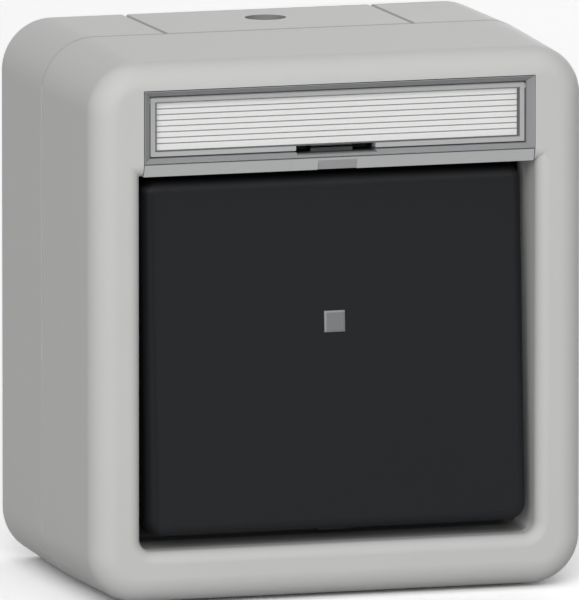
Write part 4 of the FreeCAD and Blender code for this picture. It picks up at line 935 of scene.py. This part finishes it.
class SWITCH_OT_cover(SwitchOperator):
    """Front shell with the rocker's recess and the inscription field's recess"""

    bl_idname = "switch.cover"
    bl_label = "Cover"

    def build(self):
        s, lay = self.sizes, self.lay
        slope = math.tan(s.cover_draft)
        foot = SEAM + s.seam_gap
        profile = [(s.seam_depth, SEAM), (s.seam_depth, foot), (s.seam_bevel, foot)]
        profile.append(((s.seam_gap + s.seam_bevel) * slope, foot + s.seam_bevel))
        profile += front_round(SEAM, FRONT, s.front_edge, s.cover_draft, steps=16)
        shell = placed("cover", solid(OUTSIDE, s.corner_radius, profile, segments=20))

        floor_back = lay.floor_front - s.floor
        hollow = [
            (s.wall, SEAM - BEYOND),
            (s.wall, SEAM),
            (s.wall + (floor_back - SEAM) * slope, floor_back),
        ]
        cut(shell, solid(OUTSIDE, s.corner_radius, hollow))
        cut(shell, self.opening(), self.opening_ends())
        left, right, low, high = lay.label
        pocket = box((left, right, low - BEYOND, high), lay.label_back, FRONT + BEYOND)
        cut(shell, pocket)
        join(shell, *self.ears())
        cut(shell, *self.ports())
        finish = moulded("cover_grey", self.tints.housing, 0.6, areas=self.opening_areas())
        finished(shell, "housing", "cover_housing", finish)

    def opening_areas(self):
        """Painted shade deep in the rocker's opening and on its lower wall, and painted light on
        its right wall.
        """
        s, lay, tints = self.sizes, self.lay, self.tints
        left, right, low, high = inset(lay.opening, -LITTLE)
        wide, tall = (left, right), (low, high)
        deep = (lay.floor_front - MM, FRONT - s.recess_shade)
        shaded = (lay.floor_front + s.shade_end, FRONT - s.shade_start)
        lower = (low, low + s.shade_height)
        lighter = (FRONT - s.deep_wall_end, FRONT - s.deep_wall)
        beside, above = (right - MM, right + BEYOND), (low + BEYOND, high)
        return [
            (wide, deep, tall, tints.recess),
            (wide, shaded, lower, tints.low_wall, s.shade_blur),
            (beside, lighter, above, tints.deep_wall, 2 * s.shade_blur),
        ]

    def ears(self):
        """The two ears that carry the rocker's pins."""
        s, lay = self.sizes, self.lay
        low, high = lay.pivot_height - s.ear_radius, lay.pivot_height + s.ear_radius
        front = lay.pivot_depth + s.ear_radius
        near, far = s.ear_from, s.ear_from + s.ear_thickness
        for left, right in ((near, far), (-far, -near)):
            ear = box((left, right, low, high), lay.floor_front - s.floor / 2, front)
            crown = edges_within(ear, (None, -front, None))
            across = [e for e in crown if e.calc_length() < s.ear_thickness + LITTLE]
            soften(ear, across, s.ear_crown, segments=8)
            yield closed(ear)

    def ports(self):
        """The forms that cut the holes in the recess's floor and in the bearing ears."""
        s, lay = self.sizes, self.lay
        start = -lay.floor_front - LITTLE
        through = s.floor + MM / 2
        for x, z, hole, depth in (
            (0, middle_of("plunger").z, s.seal_port, through),
            (0, 0, s.guide_port, through),
            (s.screw_x, 0, s.screw_hole, through),
            (-s.screw_x, 0, s.screw_hole, through),
            (s.screw_x, 0, s.screw_sink, s.screw_sink_depth),
            (-s.screw_x, 0, s.screw_sink, s.screw_sink_depth),
        ):
            yield rod((x, start, z), (x, depth - lay.floor_front, z), hole)
        reach = s.ear_from + s.ear_thickness + MM / 2
        place = (-lay.pivot_depth, lay.pivot_height)
        yield rod((-reach, *place), (reach, *place), s.pin_hole)

    def opening(self):
        """The form that cuts the rocker's opening, rolled out into the bezel."""
        s, lay = self.sizes, self.lay
        left, right, low, high = lay.opening
        edge = s.opening_edge
        past_corners = high + 3 * edge
        sides = (left - edge, right + edge, low - edge, past_corners)
        profile = self.rolled_edge() + [(edge, lay.floor_front)]
        form = solid(sides, s.opening_corner + edge, profile, segments=12)
        return topped(form, high)

    def opening_ends(self):
        """The form that lets the rolled edge run out in a mitre beside the inscription field."""
        left, right, _, high = self.lay.opening
        edge = self.sizes.opening_edge
        sides = (left - edge, right + edge, high - 6 * edge, high + edge)
        return solid(sides, 0, self.rolled_edge())

    def rolled_edge(self):
        """Steps of (inset, depth) down the roll of the bezel."""
        edge = self.sizes.opening_edge
        return [(0, FRONT + BEYOND)] + roll(0, FRONT - edge, edge, math.pi / 2, math.pi)


class SWITCH_OT_base(SwitchOperator):
    """Rear shell on the wall, with its wall screws' holes and knock-outs"""

    bl_idname = "switch.base_shell"
    bl_label = "Base"

    def build(self):
        s = self.sizes
        slope = math.tan(s.base_draft)
        profile = [
            (SEAM * slope, 0),
            (s.seam_bevel * slope, SEAM - s.seam_bevel),
            (s.seam_bevel, SEAM),
        ]
        shell = placed("base", solid(OUTSIDE, s.corner_radius, profile, segments=20))
        hollow = [
            (s.wall + (SEAM - s.back_wall) * slope, s.back_wall),
            (s.wall, SEAM),
            (s.wall, SEAM + BEYOND),
        ]
        cut(shell, solid(OUTSIDE, s.corner_radius, hollow))
        half = s.entry_width / 2
        seat = HALF_HEIGHT - s.entry_thickness
        for low, high in ((seat, HALF_HEIGHT + BEYOND), (-HALF_HEIGHT - BEYOND, -seat)):
            cut(shell, box((-half, half, low, high), -BEYOND, SEAM + BEYOND))
        self.wall_side(shell)
        for side in (1, -1):
            cut(shell, *entry_grooves(s, side))
        finish = moulded("base_grey", self.tints.housing, 0.6, areas=self.areas())
        finished(shell, "housing", "base_housing", finish)

    def wall_side(self, shell):
        """Cuts the wall screws' holes and the rings round the knock-outs."""
        s = self.sizes
        for x in (-s.fixing_x, s.fixing_x):
            for z in (-s.fixing_z, s.fixing_z):
                end = (x, -s.back_wall - BEYOND, z)
                cut(shell, rod((x, BEYOND, z), end, s.fixing_hole))
        inner = s.knockout - 2 * s.knockout_groove
        for z in (-s.knockout_z, s.knockout_z):
            cut(shell, rod((0, BEYOND, z), (0, -s.knockout_depth, z), s.knockout, segments=64))
            end = (0, -s.knockout_depth - s.wall / 4, z)
            join(shell, rod((0, 0, z), end, inner, segments=64))

    def areas(self):
        """Painted shade along the seam, darker near the top, and in the entries' grooves."""
        s = self.sizes
        joint = (SEAM - s.seam_tint, SEAM + MM)
        arc = (HALF_HEIGHT - s.seam_corner, HALF_HEIGHT + MM)
        areas = [(None, joint, None, self.tints.joint), (None, joint, arc, self.tints.groove)]
        return areas + groove_areas(s, self.tints, 1) + groove_areas(s, self.tints, -1)


class SWITCH_OT_entries(SwitchOperator):
    """Slide-in cable entries at the top and the bottom"""

    bl_idname = "switch.entries"
    bl_label = "Cable Entries"

    def build(self):
        for name, side in (("entry_top", 1), ("entry_bottom", -1)):
            self.entry(name, side)

    def entry(self, name, side):
        s = self.sizes
        half = s.entry_width / 2 - s.entry_gap
        seat = HALF_HEIGHT - s.entry_thickness + s.entry_gap
        bm = box((-half, half, seat, HALF_HEIGHT), 0, SEAM)
        lean = SEAM * math.tan(s.base_draft)
        behind = [v for v in bm.verts if v.co.z > seat + lean and v.co.y > -lean]
        bmesh.ops.translate(bm, verts=behind, vec=(0, 0, -lean))
        outer = HALF_HEIGHT - 2 * lean
        for x in (-half, half):
            soften(bm, edges_within(bm, (x, 0, None)), s.entry_notch, segments=1)
        at_seam = edges_within(bm, (None, -SEAM, outer), (None, -SEAM, None))
        level = [e for e in at_seam if e.calc_length() > half]
        soften(bm, level, s.seam_bevel, segments=2)
        if side < 0:
            bmesh.ops.scale(bm, vec=(1, 1, -1), verts=bm.verts)
        piece = placed(name, closed(bm))
        depth = -s.dimple_from_wall
        bottom = HALF_HEIGHT - (SEAM - s.dimple_from_wall) * math.tan(s.base_draft)
        start = (0, depth, side * (HALF_HEIGHT + BEYOND))
        end = (0, depth, side * (bottom - s.dimple_depth))
        cut(piece, rod(start, end, s.dimple, segments=64, edge=s.dimple_edge))
        cut(piece, *entry_grooves(s, side))
        # The spot is painted shade in the dimple.
        spot = (0, depth, s.dimple / 2 + LITTLE / 5, self.tints.pierce)
        areas = groove_areas(s, self.tints, side)
        finish = moulded(name + "_grey", self.tints.housing, 0.6, spot=spot, areas=areas)
        finished(piece, "housing", "cable_" + name, finish)


def slot_ends(sizes, width):
    """Left and right end of something as wide as given, beside the slot's middle."""
    return (-width / 2 - sizes.slot_shift, width / 2 - sizes.slot_shift)


class SWITCH_OT_field(SwitchOperator):
    """Inscription field: surround with its lip, clear window and ruled strip"""

    bl_idname = "switch.field"
    bl_label = "Inscription Field"

    def build(self):
        self.surround()
        self.window()
        self.strip()

    def surround(self):
        s, lay = self.sizes, self.lay
        left, right, low, high = lay.label
        gap = s.label_gap
        block = (left + gap, right - gap, low, high - gap)
        piece = placed("label_surround", box(block, lay.label_back, FRONT))
        seat_depth = FRONT - s.band_drop
        seat = box(lay.window_seat, lay.window_back - s.window_floor, seat_depth + MM)
        cut(piece, self.funnel(block, seat_depth), seat, *self.slot_cuts())
        crease = low + s.lip_height
        fold = box((left, right, crease - s.crease, crease), FRONT - s.crease_depth, FRONT + MM)
        cut(piece, self.lip_cut(), fold, self.patch_cut())
        finish = moulded("surround_grey", self.tints.surround, 0.6, areas=self.surround_areas())
        finished(piece, "housing", "label_frame", finish, sharp=20)

    def surround_areas(self):
        """Painted shade on the slopes, in the wells, darker at their bottoms, and on the patch."""
        s, lay, tints = self.sizes, self.lay, self.tints
        _, _, low, high = lay.label
        behind = lay.label_back - MM
        slopes = (behind, FRONT - s.band_from)
        wells = (behind, FRONT - s.band_drop - MM)
        bottoms = (behind, FRONT - s.latch_drop - LITTLE)
        patch = (slot_ends(s, s.patch_width), (FRONT - BEYOND, FRONT))
        return [
            (None, slopes, (low + s.lip_height, high), tints.slope),
            (None, wells, None, tints.well),
            (None, bottoms, None, tints.hollow),
            (*patch, (low - MM, low + s.patch_height), tints.patch),
        ]

    def slot_cuts(self):
        """The blade's slot down to its bar, a well at each end and a groove above the bar."""
        s, lay = self.sizes, self.lay
        window_low = lay.window_seat[2]
        high = window_low + s.window_gap + s.window_rim
        low = window_low - s.slot_foot
        left, right = slot_ends(s, s.slot_width)
        bar_left, bar_right = slot_ends(s, s.latch_width)
        groove_low = low + s.latch_height
        groove_high = groove_low + s.latch_groove
        for sides, drop in (
            ((left, right, low, high), s.latch_drop),
            ((left, bar_left, low, high), s.slot_depth),
            ((bar_right, right, low, high), s.slot_depth),
            ((bar_left - LITTLE, bar_right + LITTLE, groove_low, groove_high), s.slot_depth),
        ):
            yield box(sides, FRONT - drop, FRONT + MM)

    def lip_cut(self):
        """The wedge that leaves the sloping lip."""
        s = self.sizes
        left, right, low, _ = self.lay.label
        slope = s.lip_drop / s.lip_height
        sides = (left, right, low - BEYOND, low + s.lip_height)
        return wedge(sides, FRONT - s.lip_drop - BEYOND * slope, FRONT)

    def patch_cut(self):
        """The wedge of the shallow patch, which starts level with the lip and leans in."""
        s = self.sizes
        low = self.lay.label[2]
        top = FRONT - s.lip_drop + s.patch_height * s.lip_drop / s.lip_height
        bottom = FRONT - s.lip_drop - s.patch_depth
        lean = (top - bottom) / s.patch_height
        sides = (*slot_ends(s, s.patch_width), low - BEYOND, low + s.patch_height)
        return wedge(sides, bottom - lean * BEYOND, top)

    def funnel(self, block, seat_depth):
        """The form that cuts the slope round the window."""
        s, lay = self.sizes, self.lay
        left, right, _, high = block
        land = s.band_land
        outer = (left + land, right - land, lay.opening_top + s.lip_height, high - land)
        share = 1 + MM / s.band_drop
        pairs = zip(outer, lay.window_seat)
        reach = [inner + (edge - inner) * share for edge, inner in pairs]
        bm = box(lay.window_seat, seat_depth, FRONT + MM)
        for vert in bm.verts:
            if vert.co.y < -FRONT:
                vert.co.x = reach[0] if vert.co.x < 0 else reach[1]
                middle = (lay.window_seat[2] + lay.window_seat[3]) / 2
                vert.co.z = reach[2] if vert.co.z < middle else reach[3]
        return closed(bm)

    def window(self):
        s, lay = self.sizes, self.lay
        left, right, low, high = lay.window
        bm = box(lay.window, lay.window_back, lay.window_front)
        upper = edges_within(bm, (None, -lay.window_front, high))
        soften(bm, upper, s.window_edge, segments=5)
        piece = placed("label_window_tray", bm)
        cell = inset(lay.window, s.window_rim)
        hollow = box(cell, lay.window_back - MM, lay.window_front - s.window_plate)
        cut(piece, hollow)
        notch = (*slot_ends(s, s.slot_width), low - MM, low + s.window_notch)
        cut(piece, box(notch, lay.window_back - MM, lay.window_front + MM))
        node_low, node_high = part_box("label_window")
        hinge = joint_named("window_hinge")["pos_m"][1:]
        for end, side in ((node_low.x, left), (node_high.x, right)):
            start = (side - math.copysign(s.window_rim / 2, side), *hinge)
            join(piece, rod(start, (end, *hinge), s.window_lug, segments=24, edge=LITTLE))
        finish = clear_tray(s, self.tints, lay.window)
        finished(piece, "label_window", "label_window", finish)

    def strip(self):
        s = self.sizes
        node_low, node_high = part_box("label_strip")
        sides = (node_low.x, node_high.x + s.strip_gap / 2, node_low.z, node_high.z)
        back, front = -node_high.y, -node_low.y
        bm = box(sides, back, front)
        pitch = (node_high.z - node_low.z - 2 * s.strip_end) / (s.strip_bands - 2)
        half = s.strip_line / 2
        for band in range(s.strip_bands - 1):
            middle = node_low.z + s.strip_end + band * pitch
            for z in (middle - half, middle, middle + half):
                split(bm, z)
            outer = [v for v in bm.verts if v.co.y < -back - LITTLE]
            trough = [v for v in outer if abs(v.co.z - middle) < half / 2]
            bmesh.ops.translate(bm, verts=trough, vec=(0, s.strip_groove, 0))
        piece = placed("label_insert", closed(bm))
        finish = ruled(s, self.tints, node_low.z, node_high.z)
        finished(piece, "label_window", "label_strip", finish)


class SWITCH_OT_rocker(SwitchOperator):
    """Rocker cap with its tab, and the small square lens in its middle"""

    bl_idname = "switch.rocker"
    bl_label = "Rocker"

    def build(self):
        self.cap()
        self.lens()

    def cap(self):
        s, lay = self.sizes, self.lay
        face = lay.rocker_face
        back = face - s.rocker_skirt
        slope = math.tan(s.rocker_draft)
        profile = [(-s.rocker_skirt * slope, back)]
        profile += front_round(face, face, s.rocker_edge, s.rocker_draft, steps=12)
        piece = placed("rocker_cap", lay.tipped(solid(lay.rocker, s.rocker_corner, profile)))
        cavity = solid(
            inset(lay.rocker, s.rocker_wall),
            s.rocker_corner - s.rocker_wall,
            [(0, back - BEYOND), (0, face - s.rocker_plate)],
        )
        cut(piece, lay.tipped(cavity))
        low = lay.rocker[2]
        half = s.tab_width / 2
        sides = (-half, half, low - s.tab_height, low + s.rocker_wall / 2)
        front = face - s.tab_behind
        tab = box(sides, front - s.tab_thickness, front)
        outer = edges_within(tab, (None, None, sides[2]))
        soften(tab, outer, LITTLE, segments=2)
        join(piece, lay.tipped(tab))
        half = s.lens_side / 2
        middle = lay.pivot_height + s.lens_rise
        hole = box((-half, half, middle - half, middle + half), back - BEYOND, face + BEYOND)
        cut(piece, lay.tipped(hole))
        areas = self.edge_areas()
        finish = moulded("rocker_satin", self.tints.rocker, 0.5, 0.07, mottle=0.06, areas=areas)
        finished(piece, "rocker", "rocker", finish)

    def edge_areas(self):
        """Painted shade on the rocker's left edge, a painted highlight band along its upper edge
        and painted shade above it.
        """
        s, lay, tints = self.sizes, self.lay, self.tints
        top = lay.rocker[3] + lay.lift
        bend = top - s.rocker_edge
        left = (lay.rocker[0] - MM, lay.rocker[0] + s.rocker_left)
        lit = (bend - s.rocker_lit_low, bend + s.rocker_lit_high)
        dark = (bend + s.rocker_dark, top + BEYOND)
        return [
            (left, None, None, tints.rocker_left, s.rocker_left_blur),
            (None, None, lit, tints.rocker_lit, s.rocker_lit_blur),
            (None, None, dark, tints.rocker_top, s.rocker_dark_blur),
        ]

    def lens(self):
        s, lay = self.sizes, self.lay
        half = s.lens_side / 2 - s.lens_gap
        middle = lay.pivot_height + s.lens_rise
        back = lay.rocker_face - s.rocker_plate
        front = lay.rocker_face + s.lens_proud
        bm = box((-half, half, middle - half, middle + half), back, front)
        rim = edges_within(bm, (None, -front, None))
        soften(bm, rim, s.lens_bevel, segments=1)
        sharp = [e for e in bm.edges if all(v.co.y < -back - LITTLE for v in e.verts)]
        soften(bm, sharp, s.lens_edge, segments=2)
        piece = placed("lens", lay.tipped(bm))
        stem_back = -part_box("indicator_lens")[1].y
        wide = s.lens_flange / 2
        sides = (-wide, wide, middle - wide, middle + wide)
        flange = box(sides, back - s.lens_flange_thickness, back + LITTLE / 10)
        join(piece, lay.tipped(flange))
        ends = (0, -back, middle), (0, -stem_back, middle)
        join(piece, lay.tipped(rod(*ends, s.lens_stem, segments=32, edge=2 * LITTLE)))
        # The lighter rim round the darker middle is a painted highlight.
        inner = half - s.lens_rim
        seen = middle + lay.lift
        areas = [((-inner, inner), None, (seen - inner, seen + inner), self.tints.lens)]
        finish = moulded("lens_grey", self.tints.lens_rim, 0.3, 0.3, 0.001 * MM, areas=areas)
        finished(piece, "rocker", "indicator_lens", finish)


class SWITCH_OT_spring(SwitchOperator):
    """Return spring, a coil of wire that rides with the plunger"""

    bl_idname = "switch.spring"
    bl_label = "Return Spring"

    def build(self):
        s = self.sizes
        node_low, node_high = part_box("return_spring")
        low, high = -node_high.y, -node_low.y
        height = (node_low.z + node_high.z) / 2
        wire = s.spring_wire / 2
        steps_a_turn = 36
        bm = bmesh.new()
        ring = bmesh.ops.create_circle(bm, cap_ends=False, segments=12, radius=wire)["verts"]
        turn = Matrix.Rotation(math.pi / 2, 4, "Y")
        place = Matrix.Translation((0, -(low + wire), height + s.spring_coil / 2)) @ turn
        bmesh.ops.transform(bm, matrix=place, verts=ring)
        steps = int(steps_a_turn * s.spring_turns)
        rise = -(high - low - 2 * wire) / steps
        bmesh.ops.spin(
            bm,
            geom=bm.verts[:] + bm.edges[:],
            cent=(0, 0, height),
            axis=(0, 1, 0),
            dvec=(0, rise, 0),
            angle=2 * math.pi * s.spring_turns,
            steps=steps,
        )
        bmesh.ops.holes_fill(bm, edges=bm.edges)
        piece = placed("return_coil", closed(bm))
        finish = finish_of("spring_steel")
        finished(piece, "plunger", "return_spring", finish)
        slide = joint_named("plunger_slide")
        keep = 1 - slide["range_m"][1] / (high - low)
        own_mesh(piece)


INNER_SLOTS = {
    "housing_gasket": "seal_rubber",
    "plunger_seal": "seal_rubber",
    "cover_screws": "plated_steel",
    "insert_screws": "plated_steel",
    "terminal_screws": "plated_steel",
    "terminal_clamps": "plated_steel",
    "support_plate": "plated_steel",
    "rocker_pins": "plated_steel",
    "rocker_carrier": "carrier_grey",
    "plunger": "carrier_grey",
    "contact_bridge": "contact_brass",
    "switch_contacts": "contact_brass",
    "lamp_contacts": "contact_brass",
    "light_guide": "guide_clear",
    "indicator_lamp": "lamp_clear",
    "insert_body": "insert_black",
    "insert_top": "insert_black",
}


class SWITCH_OT_inner(SwitchOperator):
    """Finishes of the inner pieces, which keep their shapes"""

    bl_idname = "switch.inner"
    bl_label = "Inner Pieces"

    def build(self):
        for name, slot in INNER_SLOTS.items():
            node = frame["nodes"][name]
            node.data.materials.clear()
            node.data.materials.append(finish_of(slot))


# Share of a white floor's light that reaches the camera, and strength of the light all round
FLOOR_LIGHT = 0.68
SKY_LIGHT = 0.32

# From the floor's middle to its sides, in metres
FLOOR_REACH = 3.0

# Name, place, diameter and watts
LAMPS = (
    ("key", (-0.52, -1.33, 0.54), 1.2, 16.4),
    ("top", (0.12, -0.27, 1.33), 1.0, 2.2),
    ("back", (0.8, 1.1, 0.3), 1.0, 5.0),
)

# The view of the photograph: degrees, pixels and millimetres
AIM = Vector((0, -SEAM, 0))
AZIMUTH, ELEVATION = -16.28, 8.97
PICTURE_HEIGHT = 600
PIXELS_PER_METRE = 7828.0
OFF_RIGHT, OFF_DOWN = 0.76, 0.03
LENS, SENSOR = 1500.0, 36.0


class SWITCH_OT_stage(SwitchOperator):
    """Floor, light, backdrop and camera"""

    bl_idname = "switch.stage"
    bl_label = "Stage"

    def build(self):
        self.floor()
        self.world()
        self.lamps()
        self.camera()

    def floor(self):
        bm = bmesh.new()
        bmesh.ops.create_grid(bm, x_segments=1, y_segments=1, size=FLOOR_REACH)
        bmesh.ops.translate(bm, verts=bm.verts, vec=(0, 0, -HALF_HEIGHT))
        piece = placed("floor", bm)
        finish = Finish("floor_pale", 1.0, Specular_IOR_Level=0.0)
        pale = finish.mottled(finish.noise(FLOOR_REACH / 6), self.tints.floor, 0.99, 1.01)
        seen = tuple(part / FLOOR_LIGHT for part in WHITE[:3]) + (1.0,)
        finish.set("Base Color", finish.blend(finish.seen_rays(), pale, seen))
        piece.data.materials.append(finish.material)

    def world(self):
        world = bpy.data.worlds.new("backdrop")
        bpy.context.scene.world = world
        world.use_nodes = True
        nodes = Nodes(world.node_tree)
        dim, white = (
            nodes.node("ShaderNodeBackground", {}, {"Color": WHITE, "Strength": strength})
            for strength in (SKY_LIGHT, 1.0)
        )
        mix = nodes.node("ShaderNodeMixShader", {}, {0: nodes.seen_rays(), 1: dim, 2: white})
        nodes.node("ShaderNodeOutputWorld", {}, {"Surface": mix})

    def lamps(self):
        for name, place, size, power in LAMPS:
            light = bpy.data.lights.new(name, "AREA")
            light.shape = "DISK"
            light.size = size
            light.energy = power
            lamp = bpy.data.objects.new(name, light)
            lamp.location = place
            way = Vector(place) - AIM
            lamp.rotation_euler = way.to_track_quat("Z", "Y").to_euler()
            bpy.context.scene.collection.objects.link(lamp)

    def camera(self):
        """A very long lens, so that edges stay nearly parallel as in the photograph."""
        azimuth, elevation = math.radians(AZIMUTH), math.radians(ELEVATION)
        level = Vector((math.sin(azimuth), -math.cos(azimuth), 0))
        back = level * math.cos(elevation) + Vector((0, 0, math.sin(elevation)))
        right = Vector((math.cos(azimuth), math.sin(azimuth), 0))
        up = back.cross(right)
        camera = bpy.data.cameras.new("camera")
        camera.type = "PERSP"
        camera.lens = LENS
        camera.sensor_width = SENSOR
        distance = LENS / SENSOR * PICTURE_HEIGHT / PIXELS_PER_METRE
        seen = bpy.data.objects.new("camera", camera)
        aim = AIM + (up * OFF_DOWN - right * OFF_RIGHT) / PIXELS_PER_METRE
        seen.location = aim + back * distance
        seen.rotation_euler = back.to_track_quat("Z", "Y").to_euler()
        bpy.context.scene.collection.objects.link(seen)
        bpy.context.scene.camera = seen
        bpy.context.scene.view_settings.view_transform = "Standard"


STEPS = (
    SWITCH_OT_stage,
    SWITCH_OT_cover,
    SWITCH_OT_base,
    SWITCH_OT_entries,
    SWITCH_OT_field,
    SWITCH_OT_rocker,
    SWITCH_OT_spring,
    SWITCH_OT_inner,
)


class VIEW3D_PT_push_switch(bpy.types.Panel):
    """Lists the switch's pieces and sizes"""

    bl_label = "Push Switch"
    bl_space_type = "VIEW_3D"
    bl_region_type = "UI"
    bl_category = "Push Switch"

    def draw(self, context):
        for step in STEPS:
            self.layout.operator(step.bl_idname)
        for group in (context.scene.switch_sizes, context.scene.switch_colours):
            column = self.layout.column(align=True)
            for name in group.__annotations__:
                column.prop(group, name)


CLASSES = (SwitchSizes, SwitchColours, *STEPS, VIEW3D_PT_push_switch)


def register():
    for item in CLASSES:
        bpy.utils.register_class(item)
    bpy.types.Scene.switch_sizes = PointerProperty(type=SwitchSizes)
    bpy.types.Scene.switch_colours = PointerProperty(type=SwitchColours)


def unregister():
    del bpy.types.Scene.switch_colours
    del bpy.types.Scene.switch_sizes
    for item in reversed(CLASSES):
        bpy.utils.unregister_class(item)


def main():
    register()
    for step in STEPS:
        group, name = step.bl_idname.split(".")
        getattr(getattr(bpy.ops, group), name)()


if __name__ == "__main__":
    main()
